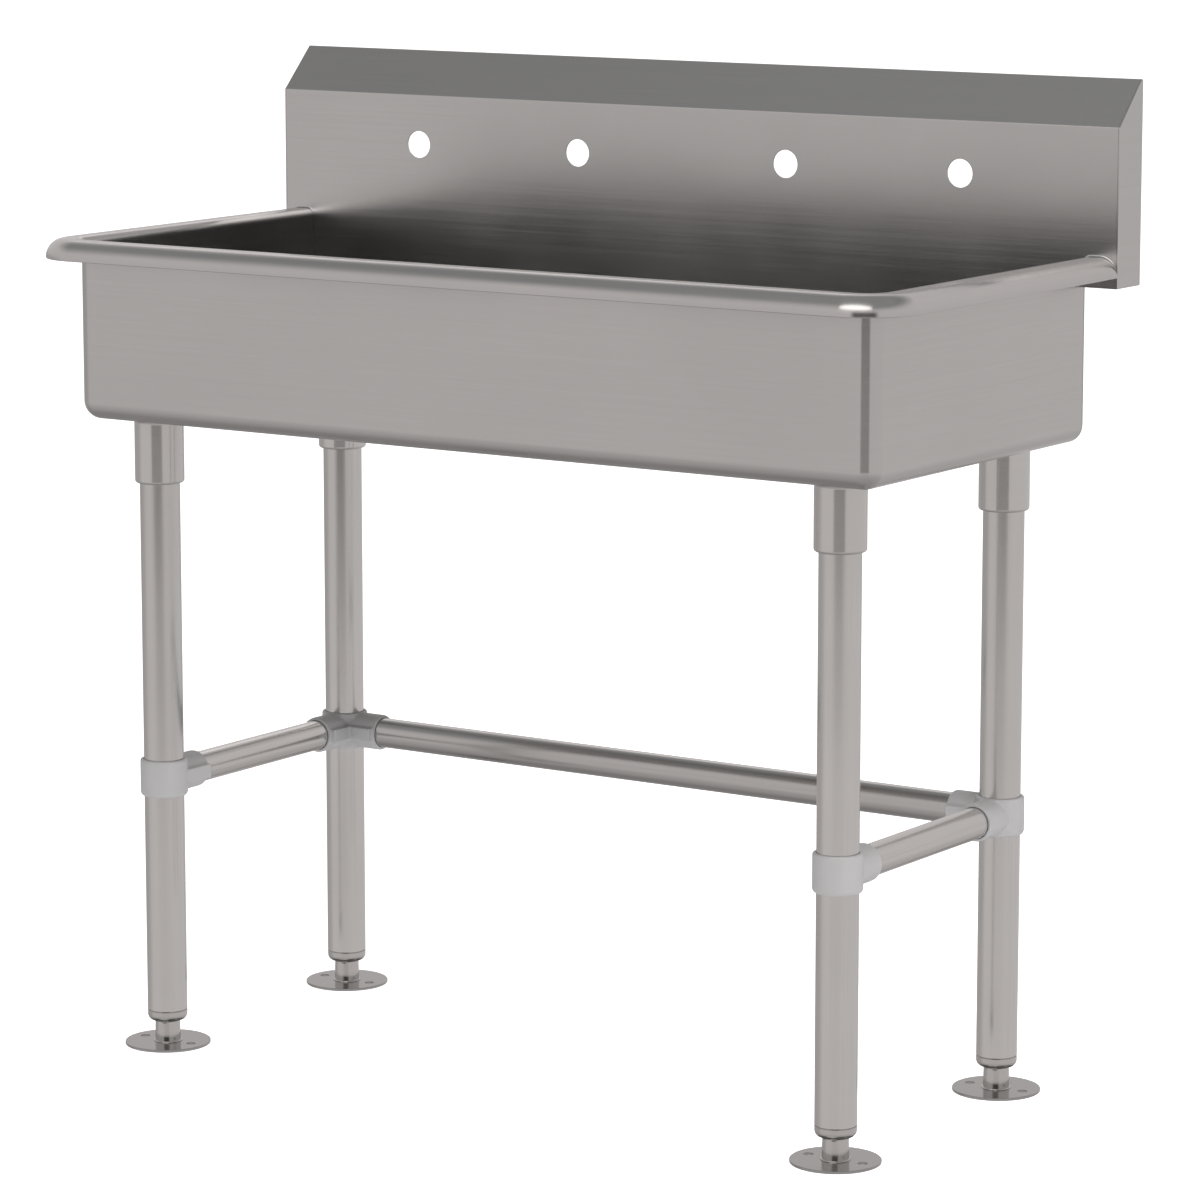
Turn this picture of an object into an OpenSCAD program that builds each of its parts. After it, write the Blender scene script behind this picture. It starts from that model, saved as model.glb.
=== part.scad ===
// Free-standing trough sink: one wide bowl with a rolled rim on three sides, a tall backsplash with
// two pairs of faucet holes, four tubular legs joined by side rails and a rear rail, and four flanged
// feet that screw up and down. Millimetres. The origin is on the floor below the middle of the outline:
// +X to the right, +Y to the wall behind, +Z up. The front lip faces -Y.

/* [Bowl] */
// inside width between the side walls
bowl_w = 939.8; // [860:0.1:1010]
// inside depth from the front wall to the backsplash plane
bowl_d = 403.2; // [380:0.1:430]
// rim top down to the underside of the bowl floor
bowl_h = 185.2; // [160:0.1:215]
// height of the rim top over the floor, feet screwed in
rim_z = 843; // [800:0.5:900]
// sheet thickness of the bowl and the backsplash
sheet_t = 1.6; // [1.2:0.1:2]
// outer radius of the upright front corners and of the coves along the floor
corner_r = 19.05; // [16:0.05:24]
// reach of the rim lip beyond the bowl wall
rim_out = 36.5; // [33:0.1:40]
// outer radius of the rolled lip
rim_roll_r = 19.05; // [16:0.05:21]
// outer radius of the bend from the wall into the rim
rim_bend_r = 9; // [6:0.1:11]

/* [Backsplash] */
// depth from the front face to the open back plane
splash_d = 47.6; // [42:0.1:56]
// rim top down to the bottom edge of the backsplash
splash_drop = 30.5; // [26:0.1:36]
// rim top up to the fold where the front face turns into the slope
splash_front_h = 127.2; // [110:0.1:145]
// angle of the sloped top over the horizontal
splash_slope = 45; // [35:0.5:50]
// outer radius of the folds
splash_fold_r = 2; // [1.8:0.1:4]
// width of the flanges turned in along the bottom and along the top rear edge
splash_flange = 19; // [14:0.5:24]
// diameter of the faucet holes
faucet_hole_d = 28.6; // [24:0.1:32]
// distance between the two holes of one pair
faucet_hole_pitch = 203.2; // [190:0.1:212]
// distance between the middles of the two pairs
faucet_pair_pitch = 457.2; // [430:0.1:480]
// height of the faucet holes over the rim top
faucet_up = 74.8; // [62:0.1:84]

/* [Legs] */
// side leg axes in from the side lips
leg_side_in = 101.6; // [98:0.1:112]
// front leg axes behind the front lip
leg_front_in = 88.8; // [87:0.1:94]
// rear leg axes in front of the backsplash plane
leg_rear_in = 38.2; // [34:0.1:48]
// outer diameter of the leg tubes
leg_d = 41.3; // [40:0.1:42]
// wall thickness of the leg tubes
leg_t = 1.6; // [1.2:0.1:2]
// outer diameter of the leg sockets
socket_d = 50.8; // [49:0.1:53]
// height of the leg sockets under the bowl
socket_h = 66.2; // [55:0.1:75]
// thickness of the solid cap at the top of a socket
socket_cap = 7.8; // [6:0.1:12]
// radius of the rounded lower socket edge
socket_edge_r = 3; // [1:0.1:3.5]
// radius of the hollow weld fillet under the bowl
weld_r = 4.4; // [3:0.1:5]

/* [Rails] */
// height of the rail axes over the floor
rail_z = 283.8; // [240:0.1:340]
// outer diameter of the rails
rail_d = 31.75; // [30:0.05:32]
// wall thickness of the rails
rail_t = 1.5; // [1.2:0.1:2]
// outer diameter of the fitting collars round the legs
collar_d = 49; // [47.5:0.1:51]
// height of the fitting collars
collar_h = 39; // [36:0.1:44]
// radius of the lower collar edge
collar_low_r = 4; // [1:0.1:4.5]
// radius of the upper collar edge
collar_top_r = 2; // [1:0.1:2.2]
// outer diameter of the fitting arms round the rails
arm_d = 38.1; // [37.4:0.1:39.5]
// reach of an arm from the leg axis
arm_reach = 52; // [48:0.1:60]
// radius of the outer edge at the arm mouth
arm_edge_r = 2; // [0.8:0.1:2.2]
// height of the flat pad on the inner side of an arm
pad_h = 15; // [12:0.1:18]
// distance of the pad face from the arm axis
pad_out = 23.6; // [22:0.1:24.2]
// pad end short of the arm mouth
pad_short = 2.5; // [1:0.1:5]
// radial gap between a tube and its socket or fitting
tube_gap = 0.4; // [0.2:0.05:0.5]

/* [Set screws] */
// diameter of a set screw
screw_d = 7.9; // [6:0.1:8]
// length of a set screw
screw_len = 5.6; // [5:0.1:6.5]
// width across the flats of the hexagon recess
screw_hex = 4; // [3:0.1:4]
// depth of the hexagon recess
screw_hex_h = 3; // [2:0.1:3.5]

/* [Feet] */
// diameter of a foot plate
plate_d = 88.9; // [80:0.1:100]
// thickness of a foot plate
plate_t = 2.8; // [1.8:0.1:3]
// diameter of the two anchor holes in a foot plate
anchor_d = 9.5; // [7:0.1:11]
// distance between the two anchor holes
anchor_pitch = 60.3; // [54:0.1:64]
// width across the flats of the foot hexagon
hex_af = 27; // [26:0.1:30]
// height of the hexagon with its shoulders
hex_h = 13.2; // [12:0.1:18]
// diameter of the round neck over the hexagon
neck_d = 25.4; // [23:0.1:25.8]
// height of the round neck
neck_h = 9; // [6:0.1:14]
// diameter of the threaded stud, drawn at its crests
stud_d = 19; // [15:0.1:20]
// length of the stud over the neck
stud_len = 56; // [52:0.1:65]
// straight and rounded height of the insert below the tube
insert_lip_h = 11.2; // [9:0.1:14]
// radius of the rounded lower insert edge
insert_edge_r = 6.75; // [4:0.05:7.5]
// height of the insert plug inside the tube
insert_plug_h = 26; // [22:0.1:34]

/* [Drain] */
// distance of the drain behind the middle of the bowl floor
drain_back = 70; // [0:1:95]
// diameter of the hole in the bowl floor
drain_hole_d = 88.9; // [88:0.1:92]
// outer diameter of the drain flange
drain_flange_d = 114.3; // [110:0.1:120]
// depth of the drain body below the bowl floor sheet, without the outlet
drain_cup_h = 24.5; // [22:0.1:32]
// outer diameter of the outlet
outlet_d = 48.3; // [42:0.1:52]
// length of the outlet below the drain body
outlet_len = 8; // [6:0.1:14]

/* [Hidden] */
$fn = 64;

STEEL = "#b9b6b1";
CAST = "#b4b5b6";
DARK = "#3c3c3e";
// overcut that carries a cutter clear of a face
CUT = 1;
// quarter turn
QUARTER = 90;
// full turn
TURN = 360;
// sides of a hexagon, and half the angle of one side
HEX_SIDES = 6;
HEX_HALF_A = 30;
// flat steps in one fold of the sheet
FOLD_STEPS = 5;

// bowl levels and planes
total_d = rim_out + sheet_t + bowl_d + splash_d;
lip_y = -total_d / 2;
back_y = total_d / 2;
splash_y = back_y - splash_d;
floor_z = rim_z - bowl_h;
wall_x = bowl_w / 2 + sheet_t;
axis_x = wall_x - corner_r;
axis_y = lip_y + rim_out + corner_r;
lip_x = wall_x + rim_out;

// backsplash levels
splash_low_z = rim_z - splash_drop;
fold_turn = QUARTER - splash_slope;
front_fold_y = splash_y + splash_fold_r;
front_fold_z = rim_z + splash_front_h - splash_fold_r * tan(fold_turn / 2);
rear_fold_y = back_y - splash_fold_r;
rear_fold_z = front_fold_z + (rear_fold_y - front_fold_y) * tan(splash_slope);
faucet_z = rim_z + faucet_up;

// leg axes
leg_x = lip_x - leg_side_in;
leg_front_y = lip_y + leg_front_in;
leg_rear_y = splash_y - leg_rear_in;
leg_span_x = 2 * leg_x;
leg_span_y = leg_rear_y - leg_front_y;

// foot levels, bottom to top
foot_play = 0.1;
insert_gap = 0.2;
insert_step_h = 0.8;
insert_step_w = 0.9;
hex_low_z = plate_t + foot_play;
neck_low_z = plate_t + hex_h;
neck_top_z = neck_low_z + neck_h;
insert_low_z = neck_top_z + insert_gap;
insert_lip_z = insert_low_z + insert_lip_h;
tube_low_z = insert_lip_z + insert_step_h;
insert_top_z = tube_low_z + insert_plug_h;
stud_play = 0.08;
plug_gap = 0.1;
hex_chamfer = 1.9;
hex_shoulder_h = 5;
pivot_d = 12;
pivot_play = 0.08;
pivot_head_d = 15;
pivot_head_h = 0.9;

// fits of the set screws
screw_play = 0.08;
screw_tip_gap = 0.02;
screw_hole_len = 14;
socket_screw_up = 20;
arm_screw_in = 12;
weld_toe = 0.6;
rail_stop = 24.2;
rail_end_gap = 0.4;

// drain levels and rings
drain_y = (lip_y + rim_out + sheet_t + splash_y) / 2 + drain_back;
drain_flange_t = 2.5;
drain_wall_t = 3.5;
drain_bore_play = 1.2;
drain_shell_r = drain_hole_d / 2 - drain_bore_play;
drain_low_z = floor_z - drain_cup_h;
drain_floor_t = 3;
outlet_t = 3;
ledge_w = 6;
ledge_t = 2.5;
ledge_down = 11;
flange_edge_r = 1.8;
gasket_t = 3;
gasket_w = 11;
nut_h = 10;
nut_w = 9;
nut_play = 0.2;
lug_count = 8;
lug_w = 10;
lug_out = 5;
strainer_gap = 0.4;
strainer_rest = 0.1;
strainer_t = 1.5;
strainer_hole_d = 4.6;
strainer_rings = [[10, 6], [18, 12], [26, 18], [33.5, 24]];
knob_d = 18;
knob_h = 6;
knob_edge_r = 2;
knob_stem_d = 7;
knob_stem_h = 12;

// Sector or ring part between two angles no more than 180 degrees apart.
module arc_band(r_out, r_in, from_a, to_a) {
    far = r_out * 2;
    mid_a = (from_a + to_a) / 2;
    intersection() {
        difference() {
            circle(r_out);
            if (r_in > 0) circle(r_in);
        }
        polygon([
            [0, 0],
            far * [cos(from_a), sin(from_a)],
            far * [cos(mid_a), sin(mid_a)],
            far * [cos(to_a), sin(to_a)]
        ]);
    }
}

// Half section of a turned bar from z0 to z1 with a rounded lower edge e0 and upper edge e1.
module bar_half(r, z0, z1, e0, e1) {
    translate([0, z0 + e0]) square([r, z1 - z0 - e0 - e1]);
    if (e0 > 0) {
        translate([0, z0]) square([r - e0, e0]);
        translate([r - e0, z0 + e0]) arc_band(e0, 0, -QUARTER, 0);
    }
    if (e1 > 0) {
        translate([0, z1 - e1]) square([r - e1, e1]);
        translate([r - e1, z1 - e1]) arc_band(e1, 0, 0, QUARTER);
    }
}

// Turned bar standing on local Z.
module bar(r, z0, z1, e0, e1) {
    rotate_extrude() bar_half(r, z0, z1, e0, e1);
}

// Children turned so that local Z points outward at angle a in plan.
module outward(a) {
    rotate([0, 0, a]) rotate([0, QUARTER, 0]) children();
}

// Section of floor cove, wall and rolled rim, measured out from the upright corner axis.
module rim_section() {
    wall_r = corner_r - sheet_t;
    bend_x = wall_r + rim_bend_r;
    roll_x = corner_r + rim_out - rim_roll_r;
    cove_z = floor_z + corner_r;
    translate([0, cove_z]) arc_band(corner_r, wall_r, -QUARTER, 0);
    translate([wall_r, cove_z]) square([sheet_t, rim_z - rim_bend_r - cove_z]);
    translate([bend_x, rim_z - rim_bend_r])
        arc_band(rim_bend_r, rim_bend_r - sheet_t, QUARTER, 2 * QUARTER);
    translate([bend_x, rim_z - sheet_t]) square([roll_x - bend_x, sheet_t]);
    translate([roll_x, rim_z - rim_roll_r]) arc_band(rim_roll_r, rim_roll_r - sheet_t, 0, QUARTER);
}

module rim_side() {
    translate([axis_x, splash_y, 0])
        rotate([QUARTER, 0, 0]) linear_extrude(splash_y - axis_y) rim_section();
}

module rim_corner() {
    translate([axis_x, axis_y, 0])
        rotate([0, 0, -QUARTER]) rotate_extrude(angle = QUARTER) rim_section();
}

module rim_front() {
    translate([axis_x, axis_y, 0])
        rotate([QUARTER, 0, -QUARTER]) linear_extrude(2 * axis_x) rim_section();
}

module rear_wall_outline() {
    translate([-wall_x, floor_z + corner_r]) square([2 * wall_x, splash_low_z - floor_z - corner_r]);
    translate([-axis_x, floor_z]) square([2 * axis_x, corner_r]);
    translate([axis_x, floor_z + corner_r]) arc_band(corner_r, 0, -QUARTER, 0);
    translate([-axis_x, floor_z + corner_r]) arc_band(corner_r, 0, TURN / 2, TURN - QUARTER);
}

module sink_bowl() {
    color(STEEL) {
        rim_side();
        mirror([1, 0, 0]) rim_side();
        rim_corner();
        mirror([1, 0, 0]) rim_corner();
        rim_front();
        difference() {
            translate([-axis_x, axis_y, floor_z]) cube([2 * axis_x, splash_y - axis_y, sheet_t]);
            translate([0, drain_y, floor_z - CUT]) cylinder(d = drain_hole_d, h = sheet_t + 2 * CUT);
        }
        translate([0, splash_y + sheet_t, 0])
            rotate([QUARTER, 0, 0]) linear_extrude(sheet_t) rear_wall_outline();
    }
}

// Points of a fold about centre c, from one angle to another.
function fold_points(c, r, from_a, to_a) = [
    for (i = [0 : FOLD_STEPS])
        c + r * [
            cos(from_a + (to_a - from_a) * i / FOLD_STEPS),
            sin(from_a + (to_a - from_a) * i / FOLD_STEPS)
        ]
];

// Line of the sheet on one side, over both folds, from the front face to the rear flange.
function splash_line(r) = concat(
    fold_points([front_fold_y, front_fold_z], r, 2 * QUARTER, QUARTER + splash_slope),
    fold_points([rear_fold_y, rear_fold_z], r, QUARTER + splash_slope, 0)
);

// The same line walked the other way.
function splash_line_back(r) = concat(
    fold_points([rear_fold_y, rear_fold_z], r, 0, QUARTER + splash_slope),
    fold_points([front_fold_y, front_fold_z], r, QUARTER + splash_slope, 2 * QUARTER)
);

// Section of the folded backsplash sheet: first value runs back, second up.
module splash_section() {
    polygon(concat(
        [[splash_y, splash_low_z]],
        splash_line(splash_fold_r),
        [
            [back_y, rear_fold_z - splash_flange],
            [back_y - sheet_t, rear_fold_z - splash_flange]
        ],
        splash_line_back(splash_fold_r - sheet_t),
        [
            [splash_y + sheet_t, splash_low_z + sheet_t],
            [splash_y + splash_flange, splash_low_z + sheet_t],
            [splash_y + splash_flange, splash_low_z]
        ]
    ));
}

// Full outline of the backsplash as seen from the side.
module splash_outline() {
    polygon(concat(
        [[splash_y, splash_low_z]],
        splash_line(splash_fold_r),
        [[back_y, splash_low_z]]
    ));
}

module backsplash_panel() {
    half_w = lip_x - sheet_t;
    color(STEEL) difference() {
        translate([-half_w, 0, 0])
            rotate([QUARTER, 0, QUARTER]) linear_extrude(2 * half_w) splash_section();
        for (pair = [-1, 1], side = [-1, 1])
            translate([
                pair * faucet_pair_pitch / 2 + side * faucet_hole_pitch / 2,
                splash_y + sheet_t + CUT,
                faucet_z
            ])
                rotate([QUARTER, 0, 0]) cylinder(d = faucet_hole_d, h = sheet_t + 2 * CUT);
    }
}

module splash_end(x) {
    color(STEEL) translate([x, 0, 0])
        rotate([QUARTER, 0, QUARTER]) linear_extrude(sheet_t) splash_outline();
}

module splash_end_left() splash_end(-lip_x);
module splash_end_right() splash_end(lip_x - sheet_t);

// Cup welded under the bowl floor, open downward, with a set screw hole to the rear.
module leg_socket(x, y) {
    r = socket_d / 2;
    low_z = floor_z - socket_h;
    color(STEEL) translate([x, y, 0]) difference() {
        rotate_extrude() {
            bar_half(r, low_z, floor_z, socket_edge_r, 0);
            translate([r, floor_z - weld_r]) difference() {
                square([weld_r - weld_toe, weld_r]);
                translate([weld_r, 0]) circle(weld_r);
            }
        }
        translate([0, 0, low_z - CUT])
            cylinder(r = leg_d / 2 + tube_gap, h = socket_h - socket_cap + CUT);
        translate([0, 0, low_z + socket_screw_up]) outward(QUARTER) translate([0, 0, leg_d / 2])
            cylinder(r = screw_d / 2 + screw_play, h = screw_hole_len);
    }
}

module leg_socket_fl() leg_socket(-leg_x, leg_front_y);
module leg_socket_fr() leg_socket(leg_x, leg_front_y);
module leg_socket_rl() leg_socket(-leg_x, leg_rear_y);
module leg_socket_rr() leg_socket(leg_x, leg_rear_y);

module leg_tube(x, y) {
    tube_h = floor_z - socket_cap - tube_low_z;
    color(STEEL) translate([x, y, tube_low_z]) difference() {
        cylinder(d = leg_d, h = tube_h);
        translate([0, 0, -CUT]) cylinder(r = leg_d / 2 - leg_t, h = tube_h + 2 * CUT);
    }
}

module leg_tube_fl() leg_tube(-leg_x, leg_front_y);
module leg_tube_fr() leg_tube(leg_x, leg_front_y);
module leg_tube_rl() leg_tube(-leg_x, leg_rear_y);
module leg_tube_rr() leg_tube(leg_x, leg_rear_y);

// Headless screw pointing outward at angle a, its tip on a tube of diameter d.
module set_screw(a, d) {
    outward(a) translate([0, 0, d / 2 + screw_tip_gap]) difference() {
        cylinder(d = screw_d, h = screw_len);
        translate([0, 0, screw_len - screw_hex_h])
            cylinder(d = screw_hex / cos(HEX_HALF_A), h = screw_hex_h + CUT, $fn = HEX_SIDES);
    }
}

module socket_set_screws() {
    color(DARK) for (x = [-leg_x, leg_x], y = [leg_front_y, leg_rear_y])
        translate([x, y, floor_z - socket_h + socket_screw_up]) set_screw(QUARTER, leg_d);
}

// Plain arm of a fitting, running outward at angle a from the leg axis.
module arm(a) {
    outward(a) bar(arm_d / 2, 0, arm_reach, 0, arm_edge_r);
}

// Flat pad beside an arm at angle a; side is +1 for its left hand, -1 for its right hand.
module arm_pad(a, side) {
    pad_end = arm_reach - pad_short;
    rotate([0, 0, a]) {
        translate([0, side > 0 ? 0 : -pad_out, -pad_h / 2]) translate([pad_h, 0, 0])
            cube([pad_end - pad_h, pad_out, pad_h]);
        translate([pad_h, 0, 0]) rotate([-side * QUARTER, 0, 0]) cylinder(d = pad_h, h = pad_out);
    }
}

// Bores of a fitting: leg bore, one blind bore for each arm, set screw holes.
module fitting_bores(arm_angles, collar_screw_a, arm_screw_turns) {
    translate([0, 0, -collar_h / 2 - CUT])
        cylinder(r = leg_d / 2 + tube_gap, h = collar_h + 2 * CUT);
    outward(collar_screw_a) translate([0, 0, leg_d / 2])
        cylinder(r = screw_d / 2 + screw_play, h = screw_hole_len);
    for (i = [0 : len(arm_angles) - 1]) rotate([0, 0, arm_angles[i]]) {
        translate([rail_stop, 0, 0]) rotate([0, QUARTER, 0])
            cylinder(r = rail_d / 2 + tube_gap, h = arm_reach - rail_stop + CUT);
        translate([arm_reach - arm_screw_in, 0, 0]) outward(arm_screw_turns[i])
            translate([0, 0, rail_d / 2]) cylinder(r = screw_d / 2 + screw_play, h = screw_hole_len);
    }
}

module collar() {
    bar(collar_d / 2, -collar_h / 2, collar_h / 2, collar_low_r, collar_top_r);
}

// Front fitting: one arm toward the rear, pad on the side given.
module rail_tee(x, side) {
    color(CAST) translate([x, leg_front_y, rail_z]) difference() {
        union() {
            collar();
            arm(QUARTER);
            arm_pad(QUARTER, side);
        }
        fitting_bores([QUARTER], 2 * QUARTER, [QUARTER]);
    }
}

module rail_tee_left() rail_tee(-leg_x, -1);
module rail_tee_right() rail_tee(leg_x, 1);

// Rear fitting: one arm to the front, one toward the middle, pads filling the inner corner.
module rail_corner(x, inward_a, side, inward_screw) {
    color(CAST) translate([x, leg_rear_y, rail_z]) difference() {
        union() {
            collar();
            arm(-QUARTER);
            arm(inward_a);
            arm_pad(-QUARTER, side);
            arm_pad(inward_a, -side);
            translate([side > 0 ? 0 : -pad_out, -pad_out, -pad_h / 2]) cube([pad_out, pad_out, pad_h]);
        }
        fitting_bores([-QUARTER, inward_a], QUARTER, [-QUARTER, inward_screw]);
    }
}

module rail_corner_left() rail_corner(-leg_x, 0, 1, QUARTER);
module rail_corner_right() rail_corner(leg_x, 2 * QUARTER, -1, -QUARTER);

module fitting_set_screws() {
    screw_s = arm_reach - arm_screw_in;
    color(DARK) {
        for (x = [-leg_x, leg_x]) {
            translate([x, leg_front_y, rail_z]) set_screw(2 * QUARTER, leg_d);
            translate([x, leg_rear_y, rail_z]) set_screw(QUARTER, leg_d);
            translate([x, leg_front_y + screw_s, rail_z]) set_screw(2 * QUARTER, rail_d);
            translate([x, leg_rear_y - screw_s, rail_z]) set_screw(2 * QUARTER, rail_d);
        }
        translate([-leg_x + screw_s, leg_rear_y, rail_z]) set_screw(QUARTER, rail_d);
        translate([leg_x - screw_s, leg_rear_y, rail_z]) set_screw(QUARTER, rail_d);
    }
}

// Rail tube running outward at angle a from a leg axis toward the next one.
module rail(a, span) {
    rail_len = span - 2 * (rail_stop + rail_end_gap);
    color(STEEL) outward(a) translate([0, 0, rail_stop + rail_end_gap]) difference() {
        cylinder(d = rail_d, h = rail_len);
        translate([0, 0, -CUT]) cylinder(r = rail_d / 2 - rail_t, h = rail_len + 2 * CUT);
    }
}

module side_rail_left() translate([-leg_x, leg_front_y, rail_z]) rail(QUARTER, leg_span_y);
module side_rail_right() translate([leg_x, leg_front_y, rail_z]) rail(QUARTER, leg_span_y);
module rear_rail() translate([-leg_x, leg_rear_y, rail_z]) rail(0, leg_span_x);

// Bored plug pressed into the tube end: rounded lip, small step that carries the tube, plug.
module foot_insert(x, y) {
    bore_r = stud_d / 2 + stud_play;
    plug_r = leg_d / 2 - leg_t - plug_gap;
    color(CAST) translate([x, y, 0]) difference() {
        rotate_extrude() {
            bar_half(leg_d / 2, insert_low_z, insert_lip_z, insert_edge_r, 0);
            translate([0, insert_lip_z]) square([leg_d / 2 - insert_step_w, insert_step_h]);
            translate([0, tube_low_z]) square([plug_r, insert_plug_h]);
        }
        translate([0, 0, insert_low_z - CUT])
            cylinder(r = bore_r, h = insert_top_z - insert_low_z + 2 * CUT);
    }
}

module foot_insert_fl() foot_insert(-leg_x, leg_front_y);
module foot_insert_fr() foot_insert(leg_x, leg_front_y);
module foot_insert_rl() foot_insert(-leg_x, leg_rear_y);
module foot_insert_rr() foot_insert(leg_x, leg_rear_y);

// Round floor plate with two anchor holes and a countersunk swivel hole.
module foot_plate(x, y) {
    swivel_r = pivot_d / 2 + pivot_play;
    head_r = pivot_head_d / 2 + pivot_play;
    color(STEEL) translate([x, y, 0]) difference() {
        cylinder(d = plate_d, h = plate_t);
        for (side = [-1, 1])
            translate([side * anchor_pitch / 2, 0, -CUT]) cylinder(d = anchor_d, h = plate_t + 2 * CUT);
        translate([0, 0, -CUT]) cylinder(r = swivel_r, h = plate_t + 2 * CUT);
        translate([0, 0, -CUT]) cylinder(r = head_r, h = CUT + foot_play);
        translate([0, 0, foot_play]) cylinder(r1 = head_r, r2 = swivel_r, h = pivot_head_h);
    }
}

module foot_plate_fl() foot_plate(-leg_x, leg_front_y);
module foot_plate_fr() foot_plate(leg_x, leg_front_y);
module foot_plate_rl() foot_plate(-leg_x, leg_rear_y);
module foot_plate_rr() foot_plate(leg_x, leg_rear_y);

// Swivelling screw foot: riveted pivot, hexagon with chamfered edges, round neck, stud.
module foot_stem(x, y) {
    corner = hex_af / 2 / cos(HEX_HALF_A);
    color(CAST) translate([x, y, 0]) {
        translate([0, 0, foot_play])
            cylinder(r1 = pivot_head_d / 2, r2 = pivot_d / 2, h = pivot_head_h);
        translate([0, 0, foot_play + pivot_head_h])
            cylinder(d = pivot_d, h = hex_low_z - foot_play - pivot_head_h);
        intersection() {
            translate([0, 0, hex_low_z]) cylinder(r = corner, h = neck_low_z - hex_low_z, $fn = HEX_SIDES);
            rotate_extrude() polygon([
                [0, hex_low_z],
                [corner - hex_chamfer, hex_low_z],
                [corner, hex_low_z + hex_chamfer],
                [corner, neck_low_z - hex_shoulder_h],
                [neck_d / 2, neck_low_z],
                [0, neck_low_z]
            ]);
        }
        translate([0, 0, neck_low_z]) cylinder(d = neck_d, h = neck_h);
        translate([0, 0, neck_top_z]) cylinder(d = stud_d, h = stud_len);
    }
}

module foot_stem_fl() foot_stem(-leg_x, leg_front_y);
module foot_stem_fr() foot_stem(leg_x, leg_front_y);
module foot_stem_rl() foot_stem(-leg_x, leg_rear_y);
module foot_stem_rr() foot_stem(leg_x, leg_rear_y);

// Flanged cup with an inner ledge for the strainer and a round outlet below.
module drain_body() {
    shell_r = drain_shell_r;
    cup_r = shell_r - drain_wall_t;
    seat_z = floor_z + sheet_t;
    outlet_r = outlet_d / 2;
    color(STEEL) translate([0, drain_y, 0]) rotate_extrude() {
        translate([shell_r, seat_z]) square([drain_flange_d / 2 - flange_edge_r - shell_r, drain_flange_t]);
        translate([drain_flange_d / 2 - flange_edge_r, seat_z])
            square([flange_edge_r, drain_flange_t - flange_edge_r]);
        translate([drain_flange_d / 2 - flange_edge_r, seat_z + drain_flange_t - flange_edge_r])
            arc_band(flange_edge_r, 0, 0, QUARTER);
        translate([cup_r, drain_low_z + drain_floor_t])
            square([drain_wall_t, seat_z + drain_flange_t - drain_low_z - drain_floor_t]);
        translate([cup_r - ledge_w, floor_z - ledge_down - ledge_t]) square([ledge_w, ledge_t]);
        translate([outlet_r - outlet_t, drain_low_z])
            square([shell_r - outlet_r + outlet_t, drain_floor_t]);
        translate([outlet_r - outlet_t, drain_low_z - outlet_len]) square([outlet_t, outlet_len]);
    }
}

module drain_gasket() {
    color(DARK) translate([0, drain_y, floor_z - gasket_t]) difference() {
        cylinder(r = drain_shell_r + nut_play + gasket_w, h = gasket_t);
        translate([0, 0, -CUT]) cylinder(r = drain_shell_r + nut_play, h = gasket_t + 2 * CUT);
    }
}

module drain_locknut() {
    ring_r = drain_shell_r + nut_play + nut_w;
    color(CAST) translate([0, drain_y, floor_z - gasket_t - nut_h]) difference() {
        union() {
            cylinder(r = ring_r, h = nut_h);
            for (i = [0 : lug_count - 1]) rotate([0, 0, i * TURN / lug_count])
                translate([ring_r - lug_out, -lug_w / 2, 0]) cube([2 * lug_out, lug_w, nut_h]);
        }
        translate([0, 0, -CUT]) cylinder(r = drain_shell_r + nut_play, h = nut_h + 2 * CUT);
    }
}

// Lift-out strainer: perforated disc with a turned knob.
module drain_strainer() {
    disc_r = drain_shell_r - drain_wall_t - strainer_gap;
    disc_z = floor_z - ledge_down + strainer_rest;
    color(STEEL) translate([0, drain_y, disc_z]) {
        difference() {
            cylinder(r = disc_r, h = strainer_t);
            for (ring = strainer_rings, i = [0 : ring[1] - 1])
                rotate([0, 0, i * TURN / ring[1]]) translate([ring[0], 0, -CUT])
                    cylinder(d = strainer_hole_d, h = strainer_t + 2 * CUT);
        }
        translate([0, 0, strainer_t]) cylinder(d = knob_stem_d, h = knob_stem_h);
        translate([0, 0, strainer_t + knob_stem_h]) bar(knob_d / 2, 0, knob_h, knob_edge_r, knob_edge_r);
    }
}

sink_bowl();
backsplash_panel();
splash_end_left();
splash_end_right();
leg_socket_fl();
leg_socket_fr();
leg_socket_rl();
leg_socket_rr();
leg_tube_fl();
leg_tube_fr();
leg_tube_rl();
leg_tube_rr();
socket_set_screws();
rail_tee_left();
rail_tee_right();
rail_corner_left();
rail_corner_right();
fitting_set_screws();
side_rail_left();
side_rail_right();
rear_rail();
foot_insert_fl();
foot_insert_fr();
foot_insert_rl();
foot_insert_rr();
foot_plate_fl();
foot_plate_fr();
foot_plate_rl();
foot_plate_rr();
foot_stem_fl();
foot_stem_fr();
foot_stem_rl();
foot_stem_rr();
drain_body();
drain_gasket();
drain_locknut();
drain_strainer();
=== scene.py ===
"""Looks of a free-standing trough sink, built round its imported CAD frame.

Every length of the sub-assemblies is in millimetres, as on the part's drawing, and every length of
the studio in metres. Meshes are made in metres, in the frame's own axes: +X right, +Y to the wall,
+Z up, floor at zero.
"""
import sys
import logging
import math
from contextlib import contextmanager
from dataclasses import dataclass, field
from enum import Enum
from typing import Iterable, Iterator, Sequence

import bmesh
import bpy
from mathutils import Euler, Matrix, Vector
from mathutils.geometry import tessellate_polygon


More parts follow.
